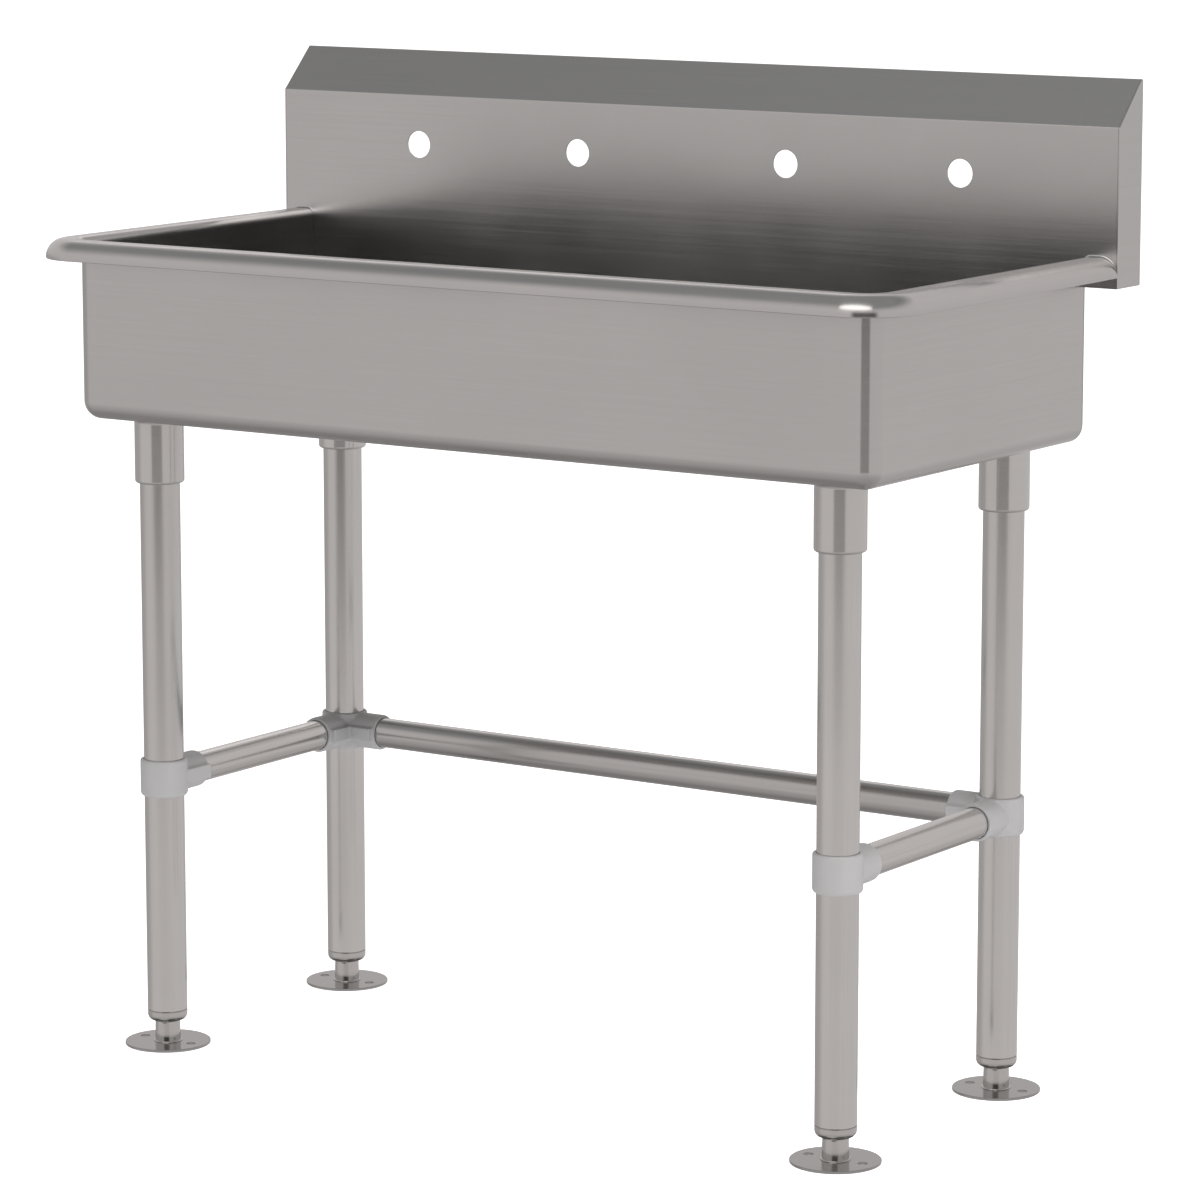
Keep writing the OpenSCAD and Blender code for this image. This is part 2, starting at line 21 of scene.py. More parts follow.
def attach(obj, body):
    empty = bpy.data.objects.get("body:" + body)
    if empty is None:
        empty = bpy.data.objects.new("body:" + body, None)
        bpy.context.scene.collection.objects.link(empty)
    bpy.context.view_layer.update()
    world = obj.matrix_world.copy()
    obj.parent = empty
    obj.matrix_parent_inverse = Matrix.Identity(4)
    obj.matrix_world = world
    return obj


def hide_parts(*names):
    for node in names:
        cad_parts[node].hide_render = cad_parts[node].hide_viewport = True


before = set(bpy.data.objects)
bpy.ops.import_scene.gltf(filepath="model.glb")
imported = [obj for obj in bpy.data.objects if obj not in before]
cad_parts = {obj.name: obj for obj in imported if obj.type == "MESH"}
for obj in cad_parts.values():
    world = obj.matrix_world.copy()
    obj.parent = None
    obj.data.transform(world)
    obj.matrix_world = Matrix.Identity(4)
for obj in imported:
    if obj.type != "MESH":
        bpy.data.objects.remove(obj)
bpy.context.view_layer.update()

LOG = logging.getLogger("trough_sink")
MM = 0.001
QUARTER = math.pi / 2
TURN = 2 * math.pi

Flat = tuple[float, float]
Corner = tuple[float, float, float]
Colour = tuple[float, float, float]

# sizes that several pieces share

SHEET_T = 1.6
FLOOR_Z = 657.8
WALL_X = 471.5
CORNER_R = 19.05
SPLASH_Y = 196.85
DRAIN_Y = 65.25
LEG_BORE_R = 21.05
HOLE_R = 4.03
DRILL_LEN = 14

# fineness of the meshes

CREASE = 30
MERGE = 0.01
SLIVER = 0.001
CUT_MERGE = 0.005
CUT_SLIVER = 0.002
ROUND_STEPS = 96
SMALL_STEPS = 40
EDGE_STEPS = 5
HEX_SIDES = 6
SHARPEST = 0.2


class Grain(Enum):
    """Direction in which a surface was brushed."""

    ALONG_X = (0, 1, 1)
    ALONG_Y = (1, 0, 1)
    ALONG_Z = (1, 1, 0)
    SHEET_MAP = (0, 1, 0)
    NONE = (1, 1, 1)


class Leg(Enum):
    """The four legs, each with the short name its parts carry."""

    FRONT_LEFT = "fl"
    FRONT_RIGHT = "fr"
    REAR_LEFT = "rl"
    REAR_RIGHT = "rr"


# flat outlines


def arc(centre: Flat, radius: float, start: float, end: float, steps: int) -> list[Flat]:
    """Points on a circular arc.

    Args:
        centre: Middle of the circle.
        radius: Radius of the circle.
        start: First angle in degrees.
        end: Last angle in degrees.
        steps: Number of chords.

    Returns:
        steps + 1 points from the first angle to the last.
    """
    angles = [math.radians(start + (end - start) * k / steps) for k in range(steps + 1)]
    return [(centre[0] + radius * math.cos(a), centre[1] + radius * math.sin(a)) for a in angles]


def ring(centre: Flat, radius: float, steps: int) -> list[Flat]:
    """Points round a whole circle, the first not repeated.

    Args:
        centre: Middle of the circle.
        radius: Radius of the circle.
        steps: Number of points.

    Returns:
        The points, anticlockwise.
    """
    return arc(centre, radius, 0, 360, steps)[:-1]


def soften(corners: Sequence[Corner], steps: int = EDGE_STEPS) -> list[Flat]:
    """Rounds the corners of a closed outline.

    Args:
        corners: Corner points, each with the radius of its rounding, 0 for a sharp one.
        steps: Chords in each rounding.

    Returns:
        The points of the rounded outline, in the order given.
    """
    made: list[Flat] = []
    for i, (x, y, radius) in enumerate(corners):
        here = Vector((x, y))
        if radius <= 0:
            made.append((x, y))
            continue
        back = (Vector(corners[i - 1][:2]) - here).normalized()
        ahead = (Vector(corners[(i + 1) % len(corners)][:2]) - here).normalized()
        half = back.angle(ahead) / 2
        first = here + back * radius / math.tan(half)
        last = here + ahead * radius / math.tan(half)
        middle = here + (back + ahead).normalized() * radius / math.sin(half)
        a = math.atan2(first.y - middle.y, first.x - middle.x)
        b = math.atan2(last.y - middle.y, last.x - middle.x)
        turn = (b - a + math.pi) % TURN - math.pi
        made += [
            (middle.x + radius * math.cos(a + turn * k / steps),
             middle.y + radius * math.sin(a + turn * k / steps))
            for k in range(steps + 1)
        ]
    return made


def band(inner: float, outer: float, low: float, top: float, edges: Sequence[float],
         steps: int = EDGE_STEPS) -> list[Flat]:
    """Half section of a ring or disc with rounded edges.

    Args:
        inner: Inner radius, 0 for a disc.
        outer: Outer radius.
        low: Height of the lower face.
        top: Height of the upper face.
        edges: Rounding of each corner, from the lower inner one round by the lower outer one.
        steps: Chords in each rounding.

    Returns:
        The points of radius and height.
    """
    corners = ((inner, low), (outer, low), (outer, top), (inner, top))
    return soften([(r, z, edge) for (r, z), edge in zip(corners, edges)], steps)


def inset(loop: Sequence[Flat], by: float) -> list[Flat]:
    """Moves an anticlockwise outline inward; a negative distance moves it outward.

    Args:
        loop: The outline.
        by: Distance to move each side.

    Returns:
        The moved outline, with as many points.
    """
    made: list[Flat] = []
    count = len(loop)
    for i in range(count):
        a, b, c = Vector(loop[i - 1]), Vector(loop[i]), Vector(loop[(i + 1) % count])
        n1 = Vector((a.y - b.y, b.x - a.x)).normalized()
        n2 = Vector((b.y - c.y, c.x - b.x)).normalized()
        mid = n1 + n2
        share = max(mid.dot(n1), SHARPEST)
        moved = b + mid * (by / share)
        made.append((moved.x, moved.y))
    return made


def lengths(line: Sequence[Flat], closed: bool) -> list[float]:
    """Running length at each point of a line.

    Args:
        line: Its points.
        closed: Whether the last point leads back to the first, which adds one more length.

    Returns:
        The lengths, from zero.
    """
    made = [0.0]
    for (x, y), (x2, y2) in zip(line, [*line[1:], line[0]] if closed else line[1:]):
        made.append(made[-1] + math.hypot(x2 - x, y2 - y))
    return made


# meshes


@contextmanager
def editing(mesh: bpy.types.Mesh) -> Iterator[bmesh.types.BMesh]:
    """Opens a mesh for changes and writes them back at the end.

    Args:
        mesh: The mesh.

    Yields:
        Its editable form.
    """
    work = bmesh.new()
    work.from_mesh(mesh)
    yield work
    work.to_mesh(mesh)
    work.free()


class MeshDraft:
    """Points, faces and a surface map, gathered before they become an object."""

    def __init__(self) -> None:
        """Starts with nothing."""
        self.points: list[Vector] = []
        self.faces: list[tuple[int, ...]] = []
        self.maps: list[list[Flat]] = []

    def face(self, corners: Sequence[Vector], uv: Sequence[Flat]) -> None:
        """Adds one face with its own points.

        Args:
            corners: The face's corners, in millimetres.
            uv: Surface map of each corner, in millimetres.
        """
        first = len(self.points)
        self.points += [Vector(c) for c in corners]
        self.faces.append(tuple(range(first, first + len(corners))))
        self.maps.append([(u * MM, v * MM) for u, v in uv])

    def skin(self, rows: Sequence[Sequence[Vector]], along: Sequence[float],
             across: Sequence[float], close_rows: bool, close_row: bool) -> None:
        """Covers a grid of points with faces.

        Args:
            rows: Rows of points, all of one length.
            along: Map value of each row, one more if the rows close.
            across: Map value of each point in a row, one more if a row closes.
            close_rows: Whether the last row joins the first.
            close_row: Whether each row is a loop.
        """
        last = len(rows) if close_rows else len(rows) - 1
        width = len(rows[0])
        for i in range(last):
            a, b = rows[i], rows[(i + 1) % len(rows)]
            for j in range(width if close_row else width - 1):
                k = (j + 1) % width
                self.face(
                    [a[j], b[j], b[k], a[k]],
                    [(along[i], across[j]), (along[i + 1], across[j]),
                     (along[i + 1], across[j + 1]), (along[i], across[j + 1])],
                )

    def cap(self, loops: Sequence[Sequence[Vector]]) -> None:
        """Fills a flat outline, with holes if more than one loop is given.

        Args:
            loops: The outer outline, then one loop for each hole.
        """
        flat = [[Vector(p) for p in loop] for loop in loops]
        every = [p for loop in flat for p in loop]
        normal = Vector((0, 0, 0))
        outer = flat[0]
        for i, p in enumerate(outer):
            normal += p.cross(outer[(i + 1) % len(outer)])
        axis = max(range(3), key=lambda n: abs(normal[n]))
        u, v = [n for n in range(3) if n != axis]
        for tri in tessellate_polygon(flat):
            corners = [every[n] for n in tri]
            self.face(corners, [(c[u], c[v]) for c in corners])

    def join(self, other: "MeshDraft") -> "MeshDraft":
        """Takes in another draft's faces and returns this one.

        Args:
            other: The draft to take in.

        Returns:
            This draft.
        """
        first = len(self.points)
        self.points += other.points
        self.faces += [tuple(n + first for n in f) for f in other.faces]
        self.maps += other.maps
        return self

    def moved(self, matrix: Matrix) -> "MeshDraft":
        """A copy of this draft, placed by a matrix whose shift is in millimetres.

        Args:
            matrix: The placement.

        Returns:
            The placed copy.
        """
        made = MeshDraft()
        made.points = [matrix @ p for p in self.points]
        made.faces = list(self.faces)
        made.maps = list(self.maps)
        return made

    def mesh(self, name: str) -> bpy.types.Mesh:
        """Makes a closed mesh in metres.

        Args:
            name: Name of the mesh.

        Returns:
            The mesh, merged where faces meet, with its faces turned outward.
        """
        data = bpy.data.meshes.new(name)
        data.from_pydata([tuple(p * MM) for p in self.points], [], self.faces)
        layer = data.uv_layers.new(name="sheet_map")
        flat = [uv for one in self.maps for uv in one]
        layer.data.foreach_set("uv", [n for uv in flat for n in uv])
        with editing(data) as work:
            bmesh.ops.remove_doubles(work, verts=work.verts, dist=MERGE * MM)
            bmesh.ops.dissolve_degenerate(work, dist=SLIVER * MM, edges=work.edges)
            bmesh.ops.recalc_face_normals(work, faces=work.faces)
        data.update()
        return data


def turned(section: Sequence[Flat], steps: int = ROUND_STEPS) -> MeshDraft:
    """Turns a closed half section round the upright axis.

    Args:
        section: Points of radius and height, in order round the section.
        steps: Steps in a whole turn.

    Returns:
        The draft, standing on the axis.
    """
    made = MeshDraft()
    widest = max(r for r, _ in section)
    rows = [
        [Vector((r * math.cos(TURN * k / steps), r * math.sin(TURN * k / steps), z)) for r, z in section]
        for k in range(steps)
    ]
    along = [widest * TURN * k / steps for k in range(steps + 1)]
    made.skin(rows, along, lengths(section, True), True, True)
    return made


def drill(radius: float, length: float, steps: int = ROUND_STEPS) -> MeshDraft:
    """A round drill that starts at height zero.

    Args:
        radius: Its radius.
        length: Its length.
        steps: Steps in a whole turn.

    Returns:
        The draft, standing on the axis.
    """
    return turned([(0, 0), (radius, 0), (radius, length), (0, length)], steps)


def sheet(outline: Sequence[Flat], holes: Sequence[Sequence[Flat]], thick: float,
          edge: float) -> MeshDraft:
    """A flat plate with a fine chamfer along every edge.

    Args:
        outline: Anticlockwise outline.
        holes: Anticlockwise outline of each hole.
        thick: Thickness, from height 0 up.
        edge: Width of the chamfer.

    Returns:
        The draft, lying on its lower face.
    """
    made = MeshDraft()
    loops = [(list(outline), edge)] + [(list(h), -edge) for h in holes]
    low, high = [], []
    for loop, by in loops:
        fine = inset(loop, by) if edge > 0 else loop
        levels = [(fine, 0.0), (loop, edge), (loop, thick - edge), (fine, thick)]
        rows = [[Vector((x, y, z)) for x, y in pts] for pts, z in levels]
        made.skin(rows, [0, edge, thick - edge, thick], lengths(loop, True), False, True)
        low.append(rows[0])
        high.append(rows[-1])
    made.cap(low)
    made.cap(high)
    return made


def shown(mesh: bpy.types.Mesh, name: str, sharp: float = CREASE) -> bpy.types.Object:
    """Makes an object of a mesh, with smooth faces and crisp edges.

    Args:
        mesh: The mesh, in place.
        name: Name of the piece.
        sharp: Angle in degrees over which an edge is crisp.

    Returns:
        The object, at the origin, with the normals kept in its mesh.
    """
    piece = bpy.data.objects.new(name, mesh)
    bpy.context.scene.collection.objects.link(piece)
    return even_normals(piece, sharp)


def even_normals(piece: bpy.types.Object, sharp: float) -> bpy.types.Object:
    """Smooths a piece's faces and keeps its crisp edges.

    Args:
        piece: The piece.
        sharp: Angle in degrees over which an edge is crisp.

    Returns:
        The same piece, with the normals kept in its mesh.
    """
    piece.data.shade_smooth()
    piece.data.set_sharp_from_angle(angle=math.radians(sharp))
    even = piece.modifiers.new("even", "WEIGHTED_NORMAL")
    even.mode = "FACE_AREA"
    even.keep_sharp = True
    return settled(piece)


def settled(piece: bpy.types.Object) -> bpy.types.Object:
    """Applies a piece's modifiers by taking over its evaluated mesh.

    Args:
        piece: The piece.

    Returns:
        The same piece, without modifiers.
    """
    graph = bpy.context.evaluated_depsgraph_get()
    graph.update()
    final = bpy.data.meshes.new_from_object(
        piece.evaluated_get(graph), preserve_all_data_layers=True, depsgraph=graph)
    final.name = piece.name
    piece.modifiers.clear()
    piece.data = final
    return piece


def cut(piece: bpy.types.Object, tools: Iterable[bpy.types.Mesh]) -> bpy.types.Object:
    """Cuts a piece with closed meshes, one after another.

    Args:
        piece: The piece to cut.
        tools: Closed meshes in place.

    Returns:
        The same piece with its new mesh.
    """
    for tool in tools:
        helper = bpy.data.objects.new("cutter", tool)
        bpy.context.scene.collection.objects.link(helper)
        step = piece.modifiers.new("cut", "BOOLEAN")
        step.operation = "DIFFERENCE"
        step.solver = "EXACT"
        step.object = helper
        settled(piece)
        bpy.data.objects.remove(helper)
    return piece


def crisp(piece: bpy.types.Object, sharp: float = CREASE) -> bpy.types.Object:
    """Works a cut piece's edges and normals out again, in its own mesh.

    Args:
        piece: The piece.
        sharp: Angle in degrees over which an edge is crisp.

    Returns:
        The same piece.
    """
    with editing(piece.data) as work:
        bmesh.ops.remove_doubles(work, verts=work.verts, dist=CUT_MERGE * MM)
        bmesh.ops.dissolve_degenerate(work, dist=CUT_SLIVER * MM, edges=work.edges)
    return even_normals(piece, sharp)


def standing(x: float, y: float, z: float = 0) -> Matrix:
    """Placement that keeps a piece upright.

    Args:
        x: Shift along X.
        y: Shift along Y.
        z: Shift upward.

    Returns:
        The placement.
    """
    return Matrix.Translation((x, y, z))


def pointing(place: Vector, toward: float) -> Matrix:
    """Placement that lays a piece's own Z level, at an angle in plan given in degrees.

    Args:
        place: Where the piece's origin goes.
        toward: Angle in plan, in degrees from +X.

    Returns:
        The placement.
    """
    return (Matrix.Translation(place) @ Matrix.Rotation(math.radians(toward), 4, "Z")
            @ Matrix.Rotation(QUARTER, 4, "Y"))


# nodes and shape trees


class NodeWriter:
    """Short way to write the nodes of a tree."""

    tree: bpy.types.NodeTree

    def add(self, kind: str, links: dict[object, object] | None = None,
            **settings: object) -> bpy.types.Node:
        """Adds a node and fills its inputs.

        Args:
            kind: Type of the node.
            links: Input by name or number, and the socket or value it gets.
            **settings: Properties of the node.

        Returns:
            The node.
        """
        made = self.tree.nodes.new(kind)
        for key, value in settings.items():
            setattr(made, key, value)
        for key, value in (links or {}).items():
            if isinstance(value, bpy.types.NodeSocket):
                self.tree.links.new(value, made.inputs[key])
            else:
                made.inputs[key].default_value = value
        return made

    def maths(self, how: str, a: object, b: object) -> bpy.types.NodeSocket:
        """A sum, difference, product or quotient of two numbers or sockets."""
        return self.add("ShaderNodeMath", {0: a, 1: b}, operation=how).outputs[0]


class ShapeTree(NodeWriter):
    """A Geometry Nodes tree with named sizes, used once per piece and then made plain."""

    def __init__(self, name: str) -> None:
        """Starts an empty tree.

        Args:
            name: Name of the tree.
        """
        self.tree = bpy.data.node_groups.new(name, "GeometryNodeTree")
        face = self.tree.interface
        face.new_socket("Geometry", in_out="INPUT", socket_type="NodeSocketGeometry")
        face.new_socket("Geometry", in_out="OUTPUT", socket_type="NodeSocketGeometry")
        self.start = self.tree.nodes.new("NodeGroupInput")
        self.end = self.tree.nodes.new("NodeGroupOutput")
        self.keys: dict[str, str] = {}

    def size(self, name: str, kind: str = "Float") -> bpy.types.NodeSocket:
        """Adds a named input and returns its socket inside the tree.

        Args:
            name: Name of the input.
            kind: Type of the input.

        Returns:
            The socket.
        """
        made = self.tree.interface.new_socket(
            name, in_out="INPUT", socket_type=f"NodeSocket{kind}")
        self.keys[name] = made.identifier
        return next(s for s in self.start.outputs if s.identifier == made.identifier)

    def close(self, shape: bpy.types.NodeSocket) -> None:
        """Ends the tree: instances made real, then one finish.

        Args:
            shape: Socket that gives the finished shape.
        """
        real = self.add("GeometryNodeRealizeInstances", {"Geometry": shape})
        dressed = self.add("GeometryNodeSetMaterial",
                           {"Geometry": real.outputs[0], "Material": self.size("Finish", "Material")})
        self.tree.links.new(dressed.outputs[0], self.end.inputs[0])

    def make(self, name: str, seed: bpy.types.Mesh, sizes: dict[str, object]) -> bpy.types.Mesh:
        """Runs the tree once.

        Args:
            name: Name of the mesh.
            seed: Mesh that enters the tree.
            sizes: Value of each named input.

        Returns:
            A plain mesh.
        """
        carrier = bpy.data.objects.new(name, seed)
        bpy.context.scene.collection.objects.link(carrier)
        step = carrier.modifiers.new("shape", "NODES")
        step.node_group = self.tree
        for key, value in sizes.items():
            step[self.keys[key]] = value
        graph = bpy.context.evaluated_depsgraph_get()
        graph.update()
        made = bpy.data.meshes.new_from_object(
            carrier.evaluated_get(graph), preserve_all_data_layers=True, depsgraph=graph)
        carrier.modifiers.remove(step)
        bpy.data.objects.remove(carrier)
        made.name = name
        return made


def tube_tree() -> ShapeTree:
    """Tree that carries a rounded wall section round a circle and lays the tube in its place.

    Returns:
        The tree.
    """
    lip_steps = 3
    tree = ShapeTree("tube")
    radius, wall = tree.size("Radius"), tree.size("Wall")
    length, lip = tree.size("Length"), tree.size("Lip")
    place, turn = tree.size("Place", "Vector"), tree.size("Turn", "Vector")
    middle = tree.maths("SUBTRACT", radius, tree.maths("MULTIPLY", wall, 0.5))
    path = tree.add("GeometryNodeCurvePrimitiveCircle", {"Resolution": ROUND_STEPS, "Radius": middle})
    upright = tree.add("GeometryNodeSetCurveNormal", {"Curve": path.outputs[0]}, mode="Z_UP")
    section = tree.add("GeometryNodeCurvePrimitiveQuadrilateral", {"Width": wall, "Height": length})
    eased = tree.add("GeometryNodeFilletCurve",
                     {"Curve": section.outputs[0], "Radius": lip, "Count": lip_steps}, mode="POLY")
    swept = tree.add("GeometryNodeCurveToMesh",
                     {"Curve": upright.outputs[0], "Profile Curve": eased.outputs[0]})
    lift = tree.add("ShaderNodeCombineXYZ", {"Z": tree.maths("MULTIPLY", length, 0.5)})
    raised = tree.add("GeometryNodeTransform",
                      {"Geometry": swept.outputs[0], "Translation": lift.outputs[0]})
    laid = tree.add("GeometryNodeTransform",
                    {"Geometry": raised.outputs[0], "Translation": place, "Rotation": turn})
    tree.close(laid.outputs[0])
    return tree


def screw_tree() -> ShapeTree:
    """Tree that puts a headless hexagon-socket screw at each seed point, turned by its stored angle.

    Returns:
        The tree.
    """
    screw_steps = 32
    over = 1.0 * MM
    tree = ShapeTree("set_screws")
    radius, length = tree.size("Screw Radius"), tree.size("Screw Length")
    hex_radius, hex_depth = tree.size("Hexagon Radius"), tree.size("Hexagon Depth")
    body = tree.add("GeometryNodeMeshCylinder",
                    {"Vertices": screw_steps, "Radius": radius, "Depth": length})
    recess = tree.add("GeometryNodeMeshCylinder",
                      {"Vertices": HEX_SIDES, "Radius": hex_radius,
                       "Depth": tree.maths("ADD", hex_depth, over)})
    buried = tree.maths("SUBTRACT", hex_depth, over)
    half = tree.maths("MULTIPLY", tree.maths("SUBTRACT", length, buried), 0.5)
    up = tree.add("ShaderNodeCombineXYZ", {"Z": half})
    seated = tree.add("GeometryNodeTransform",
                      {"Geometry": recess.outputs[0], "Translation": up.outputs[0]})
    hollow = tree.add("GeometryNodeMeshBoolean",
                      {"Mesh 1": body.outputs[0], "Mesh 2": seated.outputs[0]}, operation="DIFFERENCE")
    stored = tree.add("GeometryNodeInputNamedAttribute", {"Name": "turn"}, data_type="FLOAT_VECTOR")
    placed = tree.add("GeometryNodeInstanceOnPoints",
                      {"Points": tree.start.outputs[0], "Instance": hollow.outputs[0],
                       "Rotation": stored.outputs[0]})
    tree.close(placed.outputs[0])
    return tree


def lug_tree() -> ShapeTree:
    """Tree that sets square lugs round a nut's ring and joins them to it.

    Returns:
        The tree.
    """
    tree = ShapeTree("nut_lugs")
    count, reach = tree.size("Lug Count", "Int"), tree.size("Ring Radius")
    width, height = tree.size("Lug Width"), tree.size("Lug Height")
    middle = tree.size("Middle", "Vector")
    spots = tree.add("GeometryNodeMeshCircle", {"Vertices": count, "Radius": reach})
    lug = tree.add("GeometryNodeMeshCube",
                   {"Size": tree.add("ShaderNodeCombineXYZ",
                                     {"X": width, "Y": width, "Z": height}).outputs[0]})
    where = tree.add("GeometryNodeInputPosition")
    faced = tree.add("FunctionNodeAlignRotationToVector", {"Vector": where.outputs[0]}, axis="X",
                     pivot_axis="Z")
    placed = tree.add("GeometryNodeInstanceOnPoints",
                      {"Points": spots.outputs[0], "Instance": lug.outputs[0],
                       "Rotation": faced.outputs[0]})
    real = tree.add("GeometryNodeRealizeInstances", {"Geometry": placed.outputs[0]})
    lifted = tree.add("GeometryNodeTransform", {"Geometry": real.outputs[0], "Translation": middle})
    whole = tree.add("GeometryNodeMeshBoolean", operation="UNION")
    tree.tree.links.new(lifted.outputs[0], whole.inputs["Mesh 2"])
    tree.tree.links.new(tree.start.outputs[0], whole.inputs["Mesh 2"])
    tree.close(whole.outputs[0])
    return tree


def sieve_tree(rings: int) -> ShapeTree:
    """Tree that drills rings of holes through a disc.

    Args:
        rings: Number of rings of holes.

    Returns:
        The tree.
    """
    drill_steps = 20
    tree = ShapeTree("sieve_holes")
    hole, depth = tree.size("Hole Radius"), tree.size("Drill Length")
    middle = tree.size("Middle", "Vector")
    rod = tree.add("GeometryNodeMeshCylinder",
                   {"Vertices": drill_steps, "Radius": hole, "Depth": depth})
    gathered = tree.add("GeometryNodeJoinGeometry")
    for k in range(rings):
        spots = tree.add("GeometryNodeMeshCircle",
                         {"Vertices": tree.size(f"Ring {k + 1} Count", "Int"),
                          "Radius": tree.size(f"Ring {k + 1} Radius")})
        placed = tree.add("GeometryNodeInstanceOnPoints",
                          {"Points": spots.outputs[0], "Instance": rod.outputs[0]})
        tree.tree.links.new(placed.outputs[0], gathered.inputs[0])
    real = tree.add("GeometryNodeRealizeInstances", {"Geometry": gathered.outputs[0]})
    lifted = tree.add("GeometryNodeTransform", {"Geometry": real.outputs[0], "Translation": middle})
    drilled = tree.add("GeometryNodeMeshBoolean",
                       {"Mesh 1": tree.start.outputs[0], "Mesh 2": lifted.outputs[0]},
                       operation="DIFFERENCE")
    tree.close(drilled.outputs[0])
    return tree


def thread_tree() -> ShapeTree:
    """Tree that winds a V-shaped ridge up a stud.

    Returns:
        The tree.
    """
    turn_steps, ridge_sides = 36, 4
    tree = ShapeTree("stud_thread")
    root, depth = tree.size("Root Radius"), tree.size("Thread Depth")
    turns, height = tree.size("Turns"), tree.size("Height")
    place = tree.size("Place", "Vector")
    coil = tree.add("GeometryNodeCurveSpiral",
                    {"Resolution": turn_steps, "Rotations": turns, "Start Radius": root,
                     "End Radius": root, "Height": height})
    upright = tree.add("GeometryNodeSetCurveNormal", {"Curve": coil.outputs[0]}, mode="Z_UP")
    ridge = tree.add("GeometryNodeCurvePrimitiveCircle", {"Resolution": ridge_sides, "Radius": depth})
    wound = tree.add("GeometryNodeCurveToMesh",
                     {"Curve": upright.outputs[0], "Profile Curve": ridge.outputs[0], "Fill Caps": True})
    lifted = tree.add("GeometryNodeTransform", {"Geometry": wound.outputs[0], "Translation": place})
    tree.close(lifted.outputs[0])
    return tree


# finishes

NOISE_RANGE = (0.3, 0.7)


class NodePen(NodeWriter):
    """Short way to write the nodes of a material or of the room."""

    off_grid = (0.37, 0.21, 0.61)
    mix_inputs = (6, 7)
    mix_output = 2

    def __init__(self, owner: bpy.types.Material | bpy.types.World) -> None:
        """Clears the owner's nodes and starts with its output.

        Args:
            owner: The material or world to write.
        """
        owner.use_nodes = True
        self.tree = owner.node_tree
        self.tree.nodes.clear()
        kind = "World" if isinstance(owner, bpy.types.World) else "Material"
        self.output = self.tree.nodes.new(f"ShaderNodeOutput{kind}")

    def noise(self, where: bpy.types.NodeSocket, scale: Sequence[float],
              detail: float, rough: float) -> bpy.types.NodeSocket:
        """Noise stretched by a scale for each axis, as a value from 0 to 1.

        Args:
            where: Place at which the noise is read.
            scale: Scale along each axis.
            detail: Levels of detail.
            rough: How strong the finer levels are.

        Returns:
            The value's socket.
        """
        spread = self.add("ShaderNodeMapping",
                          {"Vector": where, "Location": self.off_grid, "Scale": tuple(scale)})
        grown = self.add("ShaderNodeTexNoise",
                         {"Vector": spread.outputs[0], "Scale": 1.0, "Detail": detail, "Roughness": rough})
        return grown.outputs["Fac"]

    def between(self, value: bpy.types.NodeSocket, low: float, high: float,
                inside: Flat = NOISE_RANGE) -> bpy.types.NodeSocket:
        """Carries a value from the inside range to one from low to high.

        Args:
            value: The value's socket.
            low: Result at the start of the range.
            high: Result at its end.
            inside: The range.

        Returns:
            The result's socket, held between low and high.
        """
        return self.add("ShaderNodeMapRange",
                        {"Value": value, "From Min": inside[0], "From Max": inside[1],
                         "To Min": low, "To Max": high}).outputs["Result"]

    def blend(self, share: bpy.types.NodeSocket, a: object, b: object) -> bpy.types.NodeSocket:
        """Mixes two colours by a share.

        Args:
            share: Share of the second colour.
            a: First colour or its socket.
            b: Second colour or its socket.

        Returns:
            The mixed colour's socket.
        """
        made = self.tree.nodes.new("ShaderNodeMix")
        made.data_type = "RGBA"
        self.tree.links.new(share, made.inputs[0])
        for key, value in zip(self.mix_inputs, (a, b)):
            if isinstance(value, bpy.types.NodeSocket):
                self.tree.links.new(value, made.inputs[key])
            else:
                made.inputs[key].default_value = (*value, 1.0)
        return made.outputs[self.mix_output]

    def dimmed(self, colour: bpy.types.NodeSocket, keep: bpy.types.NodeSocket) -> bpy.types.NodeSocket:
        """A colour's product with a share that is kept."""
        return self.add("ShaderNodeVectorMath", {0: colour, 1: keep}, operation="MULTIPLY").outputs[0]

    def surface(self, colour: bpy.types.NodeSocket, rough: bpy.types.NodeSocket,
                height: bpy.types.NodeSocket, relief: Flat, metal: float) -> bpy.types.Node:
        """Ends a material with a bumped surface.

        Args:
            colour: Its colour.
            rough: Its roughness.
            height: Height of the bumps, from 0 to 1.
            relief: Strength of the bumps and their height in millimetres.
            metal: Share of metal.

        Returns:
            The surface's node.
        """
        bump = self.add("ShaderNodeBump",
                        {"Strength": relief[0], "Distance": relief[1] * MM, "Height": height})
        shader = self.add("ShaderNodeBsdfPrincipled",
                          {"Base Color": colour, "Metallic": metal, "Roughness": rough,
                           "Normal": bump.outputs[0]})
        self.tree.links.new(shader.outputs[0], self.output.inputs[0])
        return shader


